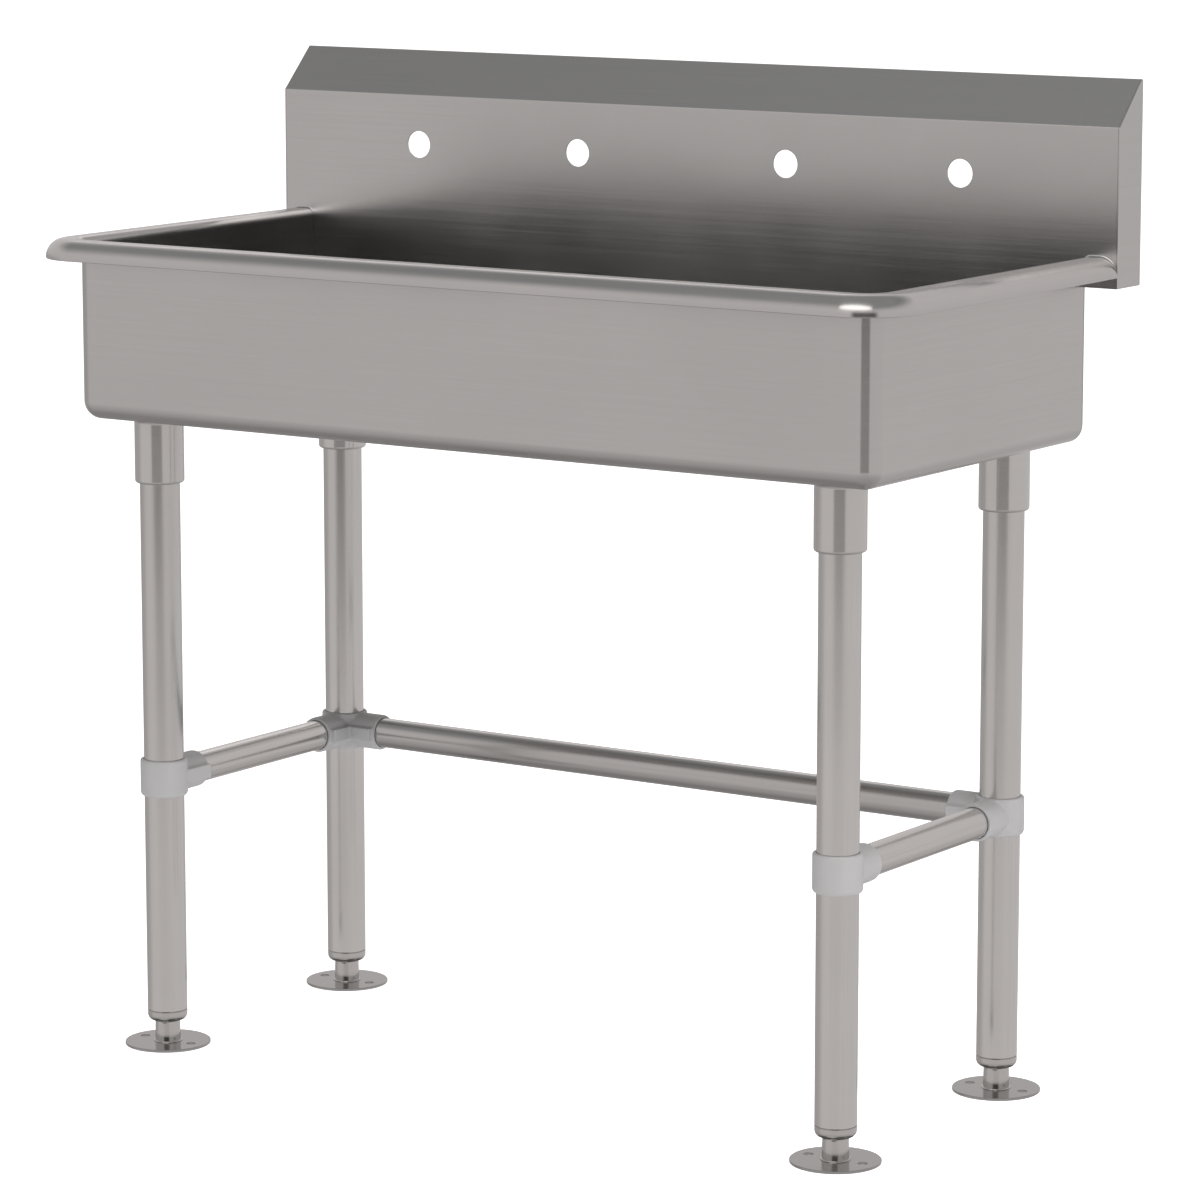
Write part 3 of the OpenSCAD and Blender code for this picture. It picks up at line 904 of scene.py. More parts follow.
@dataclass(frozen=True)
class BrushedSteel:
    """Steel brushed one way: long fine scratches, faint clouds, a gloss drawn out across them."""

    name: str
    tint: Colour
    grain: Grain
    gloss: Flat = (0.2, 0.24)
    drawn_out: float = 0.0
    # share by which the colour is darkened inside the bowl: painted shade
    painted_inside_shade: float = 0.0
    lines_per_mm: float = 1.5
    relief: float = 0.06
    relief_mm: float = 0.2
    contrast: float = 0.025
    along_scale: float = 9.0
    streak_share: float = 0.22
    streak_along: float = 3.0
    scratch_noise: Flat = (3.0, 0.6)
    streak_noise: Flat = (4.0, 0.65)
    both_range: Flat = (0.7, 1.3)
    cloud_scale: float = 5.0
    cloud_noise: Flat = (3.0, 0.5)
    cloud_share: float = 0.35
    cloud_tone: float = 0.93
    cloud_gloss: Flat = (-0.02, 0.04)
    across_turn: float = 0.25

    def material(self) -> bpy.types.Material:
        """Writes the material's nodes and returns it.

        Returns:
            The material.
        """
        made = bpy.data.materials.new(self.name)
        pen = NodePen(made)
        source = pen.add("ShaderNodeTexCoord")
        where = source.outputs["UV" if self.grain is Grain.SHEET_MAP else "Object"]
        lines = self.lines_per_mm / MM
        fine = [lines if across else self.along_scale for across in self.grain.value]
        coarse = [lines * self.streak_share if across else self.streak_along
                  for across in self.grain.value]
        scratch = pen.noise(where, fine, *self.scratch_noise)
        streak = pen.noise(where, coarse, *self.streak_noise)
        cloud = pen.noise(source.outputs["Object"], (self.cloud_scale,) * 3, *self.cloud_noise)
        both = pen.maths("ADD", scratch, streak)
        tone = pen.between(both, 0.0, 1.0, self.both_range)
        dark = tuple(c * (1 - self.contrast) for c in self.tint)
        light = tuple(min(1.0, c * (1 + self.contrast)) for c in self.tint)
        brushed = pen.blend(tone, dark, light)
        clouded = pen.blend(pen.between(cloud, 0.0, self.cloud_share), brushed,
                            tuple(c * self.cloud_tone for c in self.tint))
        # painted shade: inside the bowl the colour is darkened by the stored share, as if shade fell deep
        # in it
        if self.painted_inside_shade:
            inside = pen.add("ShaderNodeAttribute", attribute_name="inside").outputs["Fac"]
            keep = pen.between(inside, 1, 1 - self.painted_inside_shade, (0, 1))
            clouded = pen.dimmed(clouded, keep)
        rough = pen.maths("ADD", pen.between(both, *self.gloss, self.both_range),
                          pen.between(cloud, *self.cloud_gloss))
        shader = pen.surface(clouded, rough, both, (self.relief, self.relief_mm), 1.0)
        if self.drawn_out:
            along = pen.add("ShaderNodeTangent", direction_type="UV_MAP", uv_map="sheet_map")
            pen.tree.links.new(along.outputs[0], shader.inputs["Tangent"])
            shader.inputs["Anisotropic"].default_value = self.drawn_out
            shader.inputs["Anisotropic Rotation"].default_value = self.across_turn
        return made


@dataclass(frozen=True)
class CastMetal:
    """Satin cast metal: even tone, a fine pitted skin, slightly rubbed."""

    name: str
    tint: Colour
    gloss: Flat = (0.42, 0.56)
    metal: float = 0.3
    grain_size: float = 0.9
    skin_noise: Flat = (4.0, 0.6)
    skin_tones: Flat = (0.95, 1.04)
    relief: float = 0.08
    relief_mm: float = 0.15
    cloud_scale: float = 40.0
    cloud_noise: Flat = (3.0, 0.5)
    cloud_share: float = 0.3
    cloud_tone: float = 0.9
    cloud_gloss: Flat = (-0.03, 0.03)

    def material(self) -> bpy.types.Material:
        """Writes the material's nodes and returns it.

        Returns:
            The material.
        """
        made = bpy.data.materials.new(self.name)
        pen = NodePen(made)
        where = pen.add("ShaderNodeTexCoord").outputs["Object"]
        fine = 1 / (self.grain_size * MM)
        skin = pen.noise(where, (fine, fine, fine), *self.skin_noise)
        cloud = pen.noise(where, (self.cloud_scale,) * 3, *self.cloud_noise)
        dark, light = self.skin_tones
        tone = pen.blend(pen.between(skin, 0.0, 1.0), tuple(c * dark for c in self.tint),
                         tuple(min(1.0, c * light) for c in self.tint))
        tone = pen.blend(pen.between(cloud, 0.0, self.cloud_share), tone,
                         tuple(c * self.cloud_tone for c in self.tint))
        rough = pen.maths("ADD", pen.between(skin, *self.gloss), pen.between(cloud, *self.cloud_gloss))
        pen.surface(tone, rough, skin, (self.relief, self.relief_mm), self.metal)
        return made


@dataclass(frozen=True)
class MattRubber:
    """Soft black rubber with a dusty bloom."""

    name: str
    tint: Colour = (0.03, 0.03, 0.03)
    gloss: Flat = (0.6, 0.8)
    skin_scale: float = 700.0
    skin_noise: Flat = (4.0, 0.6)
    relief: float = 0.2
    relief_mm: float = 0.1
    bloom_scale: float = 60.0
    bloom_noise: Flat = (2.0, 0.5)
    bloom_share: float = 0.5
    bloom_tone: float = 1.9

    def material(self) -> bpy.types.Material:
        """Writes the material's nodes and returns it.

        Returns:
            The material.
        """
        made = bpy.data.materials.new(self.name)
        pen = NodePen(made)
        where = pen.add("ShaderNodeTexCoord").outputs["Object"]
        skin = pen.noise(where, (self.skin_scale,) * 3, *self.skin_noise)
        bloom = pen.noise(where, (self.bloom_scale,) * 3, *self.bloom_noise)
        tone = pen.blend(pen.between(bloom, 0.0, self.bloom_share), self.tint,
                         tuple(c * self.bloom_tone for c in self.tint))
        rough = pen.between(skin, *self.gloss)
        pen.surface(tone, rough, skin, (self.relief, self.relief_mm), 0.0)
        return made


@dataclass
class Finishes:
    """Every finish of the sink, made once."""

    made: dict[str, bpy.types.Material] = field(default_factory=dict)

    def __post_init__(self) -> None:
        """Writes all the materials."""
        sheet_tint = (0.61, 0.605, 0.598)
        tube_tint = (0.685, 0.678, 0.667)
        # painted shade: the rear rail is the same tubing as the side rails, given a darker tint
        rear_rail_shade_tint = (0.58, 0.574, 0.566)
        foot_tint = (0.6, 0.59, 0.58)
        plate_tint = (0.42, 0.416, 0.41)
        drain_tint = (0.64, 0.625, 0.61)
        screw_tint = (0.12, 0.12, 0.125)
        cast_tint = (0.4, 0.404, 0.408)
        brass_tint = (0.56, 0.42, 0.2)
        tubing = {"gloss": (0.18, 0.24), "lines_per_mm": 0.8, "relief": 0.02, "contrast": 0.04}
        for finish in (
            # the bowl's inside carries painted shade, its colour made 30% darker
            BrushedSteel("bowl_sheet", sheet_tint, Grain.SHEET_MAP, drawn_out=0.8, painted_inside_shade=0.3),
            BrushedSteel("splash_sheet", sheet_tint, Grain.SHEET_MAP, gloss=(0.19, 0.23),
                         relief=0.015, drawn_out=0.4),
            BrushedSteel("leg_tube_steel", tube_tint, Grain.ALONG_Z, drawn_out=0.8, **tubing),
            BrushedSteel("side_rail_steel", tube_tint, Grain.ALONG_Y, drawn_out=0.6, **tubing),
            BrushedSteel("rear_rail_steel", rear_rail_shade_tint, Grain.ALONG_X, drawn_out=0.6, **tubing),
            BrushedSteel("turned_steel", tube_tint, Grain.SHEET_MAP, gloss=(0.17, 0.22), drawn_out=0.7),
            BrushedSteel("foot_turned", foot_tint, Grain.SHEET_MAP, gloss=(0.12, 0.17)),
            BrushedSteel("plate_sheet", plate_tint, Grain.ALONG_X, gloss=(0.12, 0.19), contrast=0.04),
            BrushedSteel("drain_polish", drain_tint, Grain.SHEET_MAP, gloss=(0.1, 0.16),
                         drawn_out=0.5),
            BrushedSteel("dark_screw", screw_tint, Grain.NONE, gloss=(0.35, 0.5)),
            CastMetal("cast_fitting_skin", cast_tint),
            CastMetal("nut_brass", brass_tint, gloss=(0.28, 0.42), metal=1.0),
            MattRubber("gasket_black"),
        ):
            self.made[finish.name] = finish.material()

    def __getitem__(self, name: str) -> bpy.types.Material:
        """The material of that name."""
        return self.made[name]


@dataclass
class Fitter:
    """Hands finished pieces to the frame and reports each."""

    finishes: Finishes
    pieces: int = 0

    def fit(self, piece: bpy.types.Object, finish: str, body: str, slot: str, *nodes: str) -> None:
        """Dresses a piece and lets it ride in place of its CAD nodes.

        Args:
            piece: The finished piece.
            finish: Name of its finish.
            body: Body it moves with.
            slot: Material slot of the record; not used.
            *nodes: CAD nodes it stands for.
        """
        piece.data.materials.clear()
        piece.data.materials.append(self.finishes[finish])
        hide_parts(*nodes)
        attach(piece, body)
        self.pieces += 1
        piece.data.calc_loop_triangles()
        LOG.info("%s: %d triangles, rides on %s, stands for %s", piece.name,
                 len(piece.data.loop_triangles), body, ", ".join(nodes))


# sub-assemblies


@dataclass
class Bowl:
    """Bowl pressed of one sheet: floor, coved walls and a rolled rim on three sides."""

    wall_x: float = WALL_X
    splash_y: float = SPLASH_Y
    lip_y: float = -244.45
    floor_z: float = FLOOR_Z
    rim_z: float = 843
    sheet_t: float = SHEET_T
    corner_r: float = CORNER_R
    rim_out: float = 36.5
    roll_r: float = 19.05
    bend_r: float = 9
    drain_y: float = DRAIN_Y
    drain_hole_r: float = 44.45
    sunk: float = 0.5
    weld_r: float = 2
    weld_in: float = 0.25
    weld_starts: float = 16
    weld_ends: float = 165
    weld_fade: float = 0.9
    weld_steps: int = 6
    weld_bends: tuple[int, int] = (16, 12)
    map_r: float = 30
    cove_steps: int = 10
    bend_steps: tuple[int, int] = (8, 10)
    roll_steps: tuple[int, int] = (10, 14)
    lip_steps: int = 6
    corner_steps: int = 16
    drain_steps: int = 64
    level_face: float = 0.9

    def corner(self) -> Flat:
        """Plan position of the right front corner's upright axis."""
        return self.wall_x - self.corner_r, self.lip_y + self.rim_out + self.corner_r

    def section(self) -> list[Flat]:
        """Section of cove, wall and rim, out from the upright corner axis, in order round it.

        Returns:
            Pairs of distance from the axis and height.
        """
        t, big = self.sheet_t, self.corner_r
        wall_r = big - t
        bend = (wall_r + self.bend_r, self.rim_z - self.bend_r)
        roll = (big + self.rim_out - self.roll_r, self.rim_z - self.roll_r)
        cove = (0.0, self.floor_z + big)
        return (
            arc(cove, big, -90, 0, self.cove_steps)
            + arc(bend, self.bend_r - t, 180, 90, self.bend_steps[0])
            + arc(roll, self.roll_r - t, 90, 0, self.roll_steps[0])
            + arc((roll[0] + self.roll_r - t / 2, roll[1]), t / 2, 180, 360, self.lip_steps)[1:-1]
            + arc(roll, self.roll_r, 0, 90, self.roll_steps[1])
            + arc(bend, self.bend_r, 90, 180, self.bend_steps[1])
            + arc(cove, wall_r, 0, -90, self.cove_steps)
        )

    def stations(self) -> list[tuple[Flat, float, float]]:
        """Where the section stands: axis, outward angle in degrees and length along the path.

        Returns:
            The stations, from the right rear round the front to the left rear.
        """
        ax, ay = self.corner()
        end = self.splash_y + self.sunk
        steps, swing = self.corner_steps, self.map_r * QUARTER
        made = [((ax, end), 0.0, 0.0), ((ax, ay), 0.0, end - ay)]
        for k in range(1, steps + 1):
            made.append(((ax, ay), -90 * k / steps, end - ay + swing * k / steps))
        gone = made[-1][2]
        for k in range(steps + 1):
            made.append(((-ax, ay), -90 - 90 * k / steps, gone + 2 * ax + swing * k / steps))
        made.append(((-ax, end), -180.0, made[-1][2] + end - ay))
        return made

    def weld_line(self) -> list[tuple[Vector, Vector, float]]:
        """Line on which the right rim meets the back sheet, from its outer side to the bowl's edge.

        Returns:
            For each point its place, the way the bowl's face looks, and the radius of the weld there.
        """
        made: list[tuple[Vector, Vector, float]] = []

        def bent(middle: Flat, radius: float, start: float, end: float, steps: int) -> None:
            """Adds the points of one bend; the weld fades out at its lower end.

            Args:
                middle: Middle of the bend, as X and height.
                radius: Its radius.
                start: First angle in degrees.
                end: Last angle in degrees.
                steps: Number of chords.
            """
            for k in range(steps + 1):
                turn = start + (end - start) * k / steps
                angle = math.radians(turn)
                out = Vector((math.cos(angle), 0, math.sin(angle)))
                away = abs(turn - 90) / max(abs(start - 90), abs(end - 90))
                made.append((Vector((middle[0], 0, middle[1])) + out * radius, out,
                             self.weld_r * (1 - self.weld_fade * away ** 2)))

        level = self.rim_z - self.roll_r
        roll, bend = self.weld_bends
        bent((self.wall_x + self.rim_out - self.roll_r, level), self.roll_r, self.weld_starts, 90, roll)
        bent((self.wall_x - self.sheet_t + self.bend_r, self.rim_z - self.bend_r), self.bend_r,
             90, self.weld_ends, bend)
        return made

    def weld(self, side: int) -> MeshDraft:
        """Builds the ground weld that rounds the corner between one rim and the back sheet.

        Args:
            side: -1 for the left rim, 1 for the right rim.

        Returns:
            The weld, as a closed strip.
        """
        flip = Matrix.Scale(side, 3, Vector((1, 0, 0)))
        line = [(flip @ spot, flip @ out, r) for spot, out, r in self.weld_line()]
        rows, along, steps = [], [0.0], self.weld_steps
        for k, (spot, out, r) in enumerate(line):
            if k:
                along.append(along[-1] + (spot - line[k - 1][0]).length)
            profile = [(-self.weld_in, -r)]
            for n in range(steps + 1):
                a = QUARTER * n / steps
                profile.append((r - r * math.cos(a), r * math.sin(a) - r))
            profile += [(r, self.weld_in), (-self.weld_in, self.weld_in)]
            rows.append([spot + out * off + Vector((0, self.splash_y + y, 0)) for off, y in profile])
        made = MeshDraft()
        made.skin(rows, along, [float(n) for n in range(len(rows[0]) + 1)], False, True)
        made.cap([rows[0]])
        made.cap([rows[-1]])
        return made

    def shell(self) -> bpy.types.Object:
        """Builds the bowl.

        Returns:
            The bowl.
        """
        section = self.section()
        draft = MeshDraft()
        rows, along = [], []
        for (x, y), angle, length in self.stations():
            c, s = math.cos(math.radians(angle)), math.sin(math.radians(angle))
            rows.append([Vector((x + out * c, y + out * s, z)) for out, z in section])
            along.append(length)
        draft.skin(rows, along, lengths(section, False), False, False)
        draft.cap([rows[0]])
        draft.cap([rows[-1]])
        ax, ay = self.corner()
        end = self.splash_y + self.sunk
        outline = [(-ax, ay), (ax, ay), (ax, end), (-ax, end)]
        hole = ring((0, self.drain_y), self.drain_hole_r, self.drain_steps)
        low, high = self.floor_z, self.floor_z + self.sheet_t
        for z in (low, high):
            draft.cap([[Vector((x, y, z)) for x, y in loop] for loop in (outline, hole)])
        walls = [[Vector((x, y, z)) for x, y in hole] for z in (low, high)]
        draft.skin(walls, [0, self.sheet_t], [float(n) for n in range(self.drain_steps + 1)],
                   False, True)
        draft.face([Vector((ax, end, low)), Vector((-ax, end, low)), Vector((-ax, end, high)),
                    Vector((ax, end, high))], [(0, 0), (0, 1), (1, 1), (1, 0)])
        draft.join(self.weld(-1)).join(self.weld(1))
        piece = shown(draft.mesh("bowl_shell"), "bowl_shell")
        self.mark_shade_depth(piece.data)
        return piece

    def mark_shade_depth(self, mesh: bpy.types.Mesh) -> None:
        """Stores how far each face lies inside the bowl, where painted shade darkens the steel's colour.

        Args:
            mesh: The bowl's mesh.
        """
        near = self.sheet_t / 2
        store = mesh.attributes.new("inside", "FLOAT", "FACE")
        for face in mesh.polygons:
            x, y, z = face.center / MM
            within = (abs(x) < self.wall_x - near + self.bend_r
                      and y > self.lip_y + self.rim_out - self.bend_r + near
                      and z > self.floor_z + near)
            steep = abs(face.normal.z) < self.level_face
            outer = steep and (face.normal.x * x > 0 or face.normal.y * y > 0)
            if within and not outer:
                # full painted shade below the top bend, fading in over the bend
                store.data[face.index].value = min(1.0, max(0.0, (self.rim_z - z) / self.bend_r))

    def fit(self, fitter: Fitter) -> None:
        """Builds and dresses the bowl."""
        fitter.fit(self.shell(), "bowl_sheet", "frame", "sheet_steel", "sink_bowl")


@dataclass
class Backsplash:
    """Tall back sheet with faucet holes, folded back over the top, with a plate at each end."""

    half_w: float = 508
    wall_x: float = WALL_X
    corner_r: float = CORNER_R
    splash_y: float = SPLASH_Y
    back_y: float = 244.45
    floor_z: float = FLOOR_Z
    low_z: float = 812.5
    fold_z: float = 969.34
    fold_r: float = 2
    slope: float = 45
    flange: float = 19
    sheet_t: float = SHEET_T
    faucet_z: float = 917.8
    faucet_x: tuple[float, ...] = (-330.2, -127, 127, 330.2)
    hole_r: float = 14.3
    edge: float = 0.25
    lap: float = 0.3
    fold_steps: int = 5
    corner_steps: int = 10
    hole_steps: int = 56

    def fold_line(self, radius: float) -> list[Flat]:
        """One side of the folded sheet, from the front face over both folds to the rear face.

        Args:
            radius: Radius of both bends.

        Returns:
            Pairs of Y and height.
        """
        front = (self.splash_y + self.fold_r, self.fold_z)
        rear_y = self.back_y - self.fold_r
        rear = (rear_y, self.fold_z + (rear_y - front[0]) * math.tan(math.radians(self.slope)))
        return (arc(front, radius, 180, 90 + self.slope, self.fold_steps)
                + arc(rear, radius, 90 + self.slope, 0, 2 * self.fold_steps))

    def plate_outline(self, half: float) -> list[Flat]:
        """Front outline of the back sheet: the bowl's rear wall below, the full width above.

        Args:
            half: Half width of the upper part.

        Returns:
            Pairs of X and height, anticlockwise.
        """
        r, ax = self.corner_r, self.wall_x - self.corner_r
        right = arc((ax, self.floor_z + r), r, -90, 0, self.corner_steps) + [
            (self.wall_x, self.low_z), (half, self.low_z), (half, self.fold_z)]
        return right + [(-x, z) for x, z in reversed(right)]

    def back_sheet(self) -> bpy.types.Object:
        """Builds the back sheet with its folds.

        Returns:
            The sheet.
        """
        half, t = self.half_w - self.sheet_t, self.sheet_t
        draft = MeshDraft()
        face = Matrix(((1, 0, 0, 0), (0, 0, -1, self.splash_y + t), (0, 1, 0, 0), (0, 0, 0, 1)))
        outline = self.plate_outline(half)
        plate = MeshDraft()
        holes = [ring((x, self.faucet_z), self.hole_r, self.hole_steps) for x in self.faucet_x]
        low, high = [], []
        for z, store in ((0.0, low), (t, high)):
            store.append([Vector((x, y, z)) for x, y in outline])
        top = len(outline)
        for i in range(top):
            k = (i + 1) % top
            if outline[i][1] == self.fold_z and outline[k][1] == self.fold_z:
                continue
            a, b = outline[i], outline[k]
            plate.face([Vector((*a, 0)), Vector((*b, 0)), Vector((*b, t)), Vector((*a, t))],
                       [a, b, (b[0], b[1] + t), (a[0], a[1] + t)])
        for hole in holes:
            wide = inset(hole, -self.edge)
            rows = [[Vector((x, y, z)) for x, y in loop] for loop, z in
                    ((wide, 0.0), (hole, self.edge), (hole, t - self.edge), (wide, t))]
            plate.skin(rows, [0, self.edge, t - self.edge, t],
                       [float(n) for n in range(self.hole_steps + 1)], False, True)
            low.append(rows[0])
            high.append(rows[-1])
        plate.cap(low)
        plate.cap(high)
        draft.join(plate.moved(face))
        outer, inner = self.fold_line(self.fold_r), self.fold_line(self.fold_r - t)
        foot = outer[-1][1] - self.flange
        loop = outer + [(self.back_y, foot), (self.back_y - t, foot)] + inner[::-1]
        rows = [[Vector((x, y, z)) for y, z in loop] for x in (-half, half)]
        draft.skin(rows, [0, 2 * half], lengths(loop, False), False, False)
        draft.cap([rows[0]])
        draft.cap([rows[1]])
        near, far = self.splash_y + t - self.lap, self.splash_y + self.flange
        bottom = sheet([(-half, near), (half, near), (half, far), (-half, far)], [], t, self.edge)
        draft.join(bottom.moved(standing(0, 0, self.low_z)))
        return shown(draft.mesh("back_sheet"), "back_sheet")

    def end_plate(self, name: str, side: int) -> bpy.types.Object:
        """Builds the plate that closes one end of the backsplash.

        Args:
            name: Name of the piece.
            side: -1 for the left end, 1 for the right end.

        Returns:
            The plate.
        """
        line = self.fold_line(self.fold_r)
        outline = [(self.splash_y, self.low_z), (self.back_y, self.low_z)] + line[::-1]
        draft = sheet(outline, [], self.sheet_t, self.edge)
        across = self.half_w - self.sheet_t if side > 0 else -self.half_w
        face = Matrix(((0, 0, 1, across), (1, 0, 0, 0), (0, 1, 0, 0), (0, 0, 0, 1)))
        return shown(draft.moved(face).mesh(name), name)

    def fit(self, fitter: Fitter) -> None:
        """Builds and dresses the back sheet and its ends.

        Args:
            fitter: Takes the finished pieces.
        """
        fitter.fit(self.back_sheet(), "splash_sheet", "frame", "sheet_steel", "backsplash_panel")
        for side, word in ((-1, "left"), (1, "right")):
            fitter.fit(self.end_plate(f"end_plate_{word}", side), "splash_sheet", "frame",
                       "sheet_steel", f"splash_end_{word}")


@dataclass
class Stand:
    """Where the legs and rails stand."""

    leg_x: float = 406.4
    front_y: float = -155.65
    rear_y: float = 158.65
    rail_z: float = 283.8
    leg_r: float = 20.65
    rail_r: float = 15.875
    floor_z: float = FLOOR_Z

    def spot(self, leg: Leg) -> Flat:
        """Plan position of a leg's axis."""
        x = -self.leg_x if leg.value.endswith("l") else self.leg_x
        return x, self.front_y if leg.value.startswith("f") else self.rear_y


@dataclass
class LegCups:
    """Cups welded under the bowl, each with a set screw from the rear."""

    stand: Stand
    outer_r: float = 25.4
    height: float = 66.2
    cap: float = 7.8
    low_edge: float = 3
    bore_r: float = LEG_BORE_R
    weld_r: float = 4.4
    weld_end: float = 98
    weld_lip: float = 0.6
    bore_edge: float = 0.5
    edge_steps: int = 7
    screw_up: float = 20

    def cup(self, leg: Leg) -> bpy.types.Object:
        """Builds the cup of one leg.

        Args:
            leg: The leg.

        Returns:
            The cup.
        """
        top, r = self.stand.floor_z, self.outer_r
        low = top - self.height
        curve = arc((r + self.weld_r, top - self.weld_r), self.weld_r, 180, self.weld_end,
                    self.edge_steps)
        section = (
            [(0.0, top), (0.0, top - self.cap), (self.bore_r, top - self.cap)]
            + [(self.bore_r, low + self.bore_edge), (self.bore_r + self.bore_edge, low)]
            + arc((r - self.low_edge, low + self.low_edge), self.low_edge, -90, 0, self.edge_steps)
            + curve + [(r + self.weld_r - self.weld_lip, top)]
        )
        x, y = self.stand.spot(leg)
        name = f"leg_cup_{leg.value}"
        piece = shown(turned(section).moved(standing(x, y)).mesh(name), name)
        spot = Vector((x, y, low + self.screw_up)) + Vector((0, self.stand.leg_r, 0))
        cut(piece, [drill(HOLE_R, DRILL_LEN, SMALL_STEPS).moved(pointing(spot, 90)).mesh("drill")])
        return crisp(piece)

    def fit(self, fitter: Fitter) -> None:
        """Builds and dresses the four cups."""
        for leg in Leg:
            fitter.fit(self.cup(leg), "turned_steel", "frame", "socket_steel", f"leg_socket_{leg.value}")


@dataclass
class Tubes:
    """Leg tubes and the three rails between them."""

    stand: Stand
    low_z: float = 37.2
    top_z: float = 650
    leg_t: float = 1.6
    rail_t: float = 1.5
    rail_from: float = 24.6
    lip: float = 0.35

    def wrap_map(self, mesh: bpy.types.Mesh, start: Vector, way: Vector, radius: float) -> None:
        """Adds a surface map to a tube: length along its axis, then distance round it.

        Args:
            mesh: The tube's mesh, in metres.
            start: A point on its axis.
            way: Direction of its axis, of length one.
            radius: Its outer radius.
        """
        side = way.orthogonal().normalized()
        other = way.cross(side)
        layer = mesh.uv_layers.new(name="sheet_map")
        for face in mesh.polygons:
            first = None
            for corner in face.loop_indices:
                away = mesh.vertices[mesh.loops[corner].vertex_index].co - start
                angle = math.atan2(away.dot(other), away.dot(side))
                first = angle if first is None else first
                angle = first + (angle - first + math.pi) % TURN - math.pi
                layer.data[corner].uv = (away.dot(way), angle * radius)

    def tube(self, tree: ShapeTree, name: str, radius: float, wall: float, length: float,
             place: Vector, turn: tuple[float, float, float], finish: bpy.types.Material
             ) -> bpy.types.Object:
        """Builds one tube.

        Args:
            tree: The tube tree.
            name: Name of the piece.
            radius: Outer radius.
            wall: Wall thickness.
            length: Length.
            place: Start of its axis.
            turn: Turn from upright, in radians for each axis.
            finish: Its material.

        Returns:
            The tube.
        """
        mesh = tree.make(name, bpy.data.meshes.new("seed"), {
            "Radius": radius * MM, "Wall": wall * MM, "Length": length * MM, "Lip": self.lip * MM,
            "Place": tuple(place * MM), "Turn": turn, "Finish": finish})
        with editing(mesh) as work:
            bmesh.ops.remove_doubles(work, verts=work.verts, dist=CUT_MERGE * MM)
            bmesh.ops.recalc_face_normals(work, faces=work.faces)
        way = Euler(turn).to_matrix() @ Vector((0, 0, 1))
        self.wrap_map(mesh, place * MM, way, radius * MM)
        return shown(mesh, name)

    def fit(self, fitter: Fitter) -> None:
        """Builds and dresses the legs and rails.

        Args:
            fitter: Takes the finished pieces.
        """
        tree = tube_tree()
        stand = self.stand
        for leg in Leg:
            x, y = stand.spot(leg)
            piece = self.tube(tree, f"leg_pipe_{leg.value}", stand.leg_r, self.leg_t,
                              self.top_z - self.low_z, Vector((x, y, self.low_z)), (0, 0, 0),
                              fitter.finishes["leg_tube_steel"])
            fitter.fit(piece, "leg_tube_steel", "frame", "tube_steel", f"leg_tube_{leg.value}")
        deep = stand.rear_y - stand.front_y - 2 * self.rail_from
        for side, word in ((-1, "left"), (1, "right")):
            place = Vector((side * stand.leg_x, stand.front_y + self.rail_from, stand.rail_z))
            piece = self.tube(tree, f"rail_pipe_{word}", stand.rail_r, self.rail_t, deep, place,
                              (-QUARTER, 0, 0), fitter.finishes["side_rail_steel"])
            fitter.fit(piece, "side_rail_steel", "frame", "tube_steel", f"side_rail_{word}")
        place = Vector((-stand.leg_x + self.rail_from, stand.rear_y, stand.rail_z))
        piece = self.tube(tree, "rail_pipe_rear", stand.rail_r, self.rail_t,
                          2 * (stand.leg_x - self.rail_from), place, (0, QUARTER, 0),
                          fitter.finishes["rear_rail_steel"])
        fitter.fit(piece, "rear_rail_steel", "frame", "tube_steel", "rear_rail")


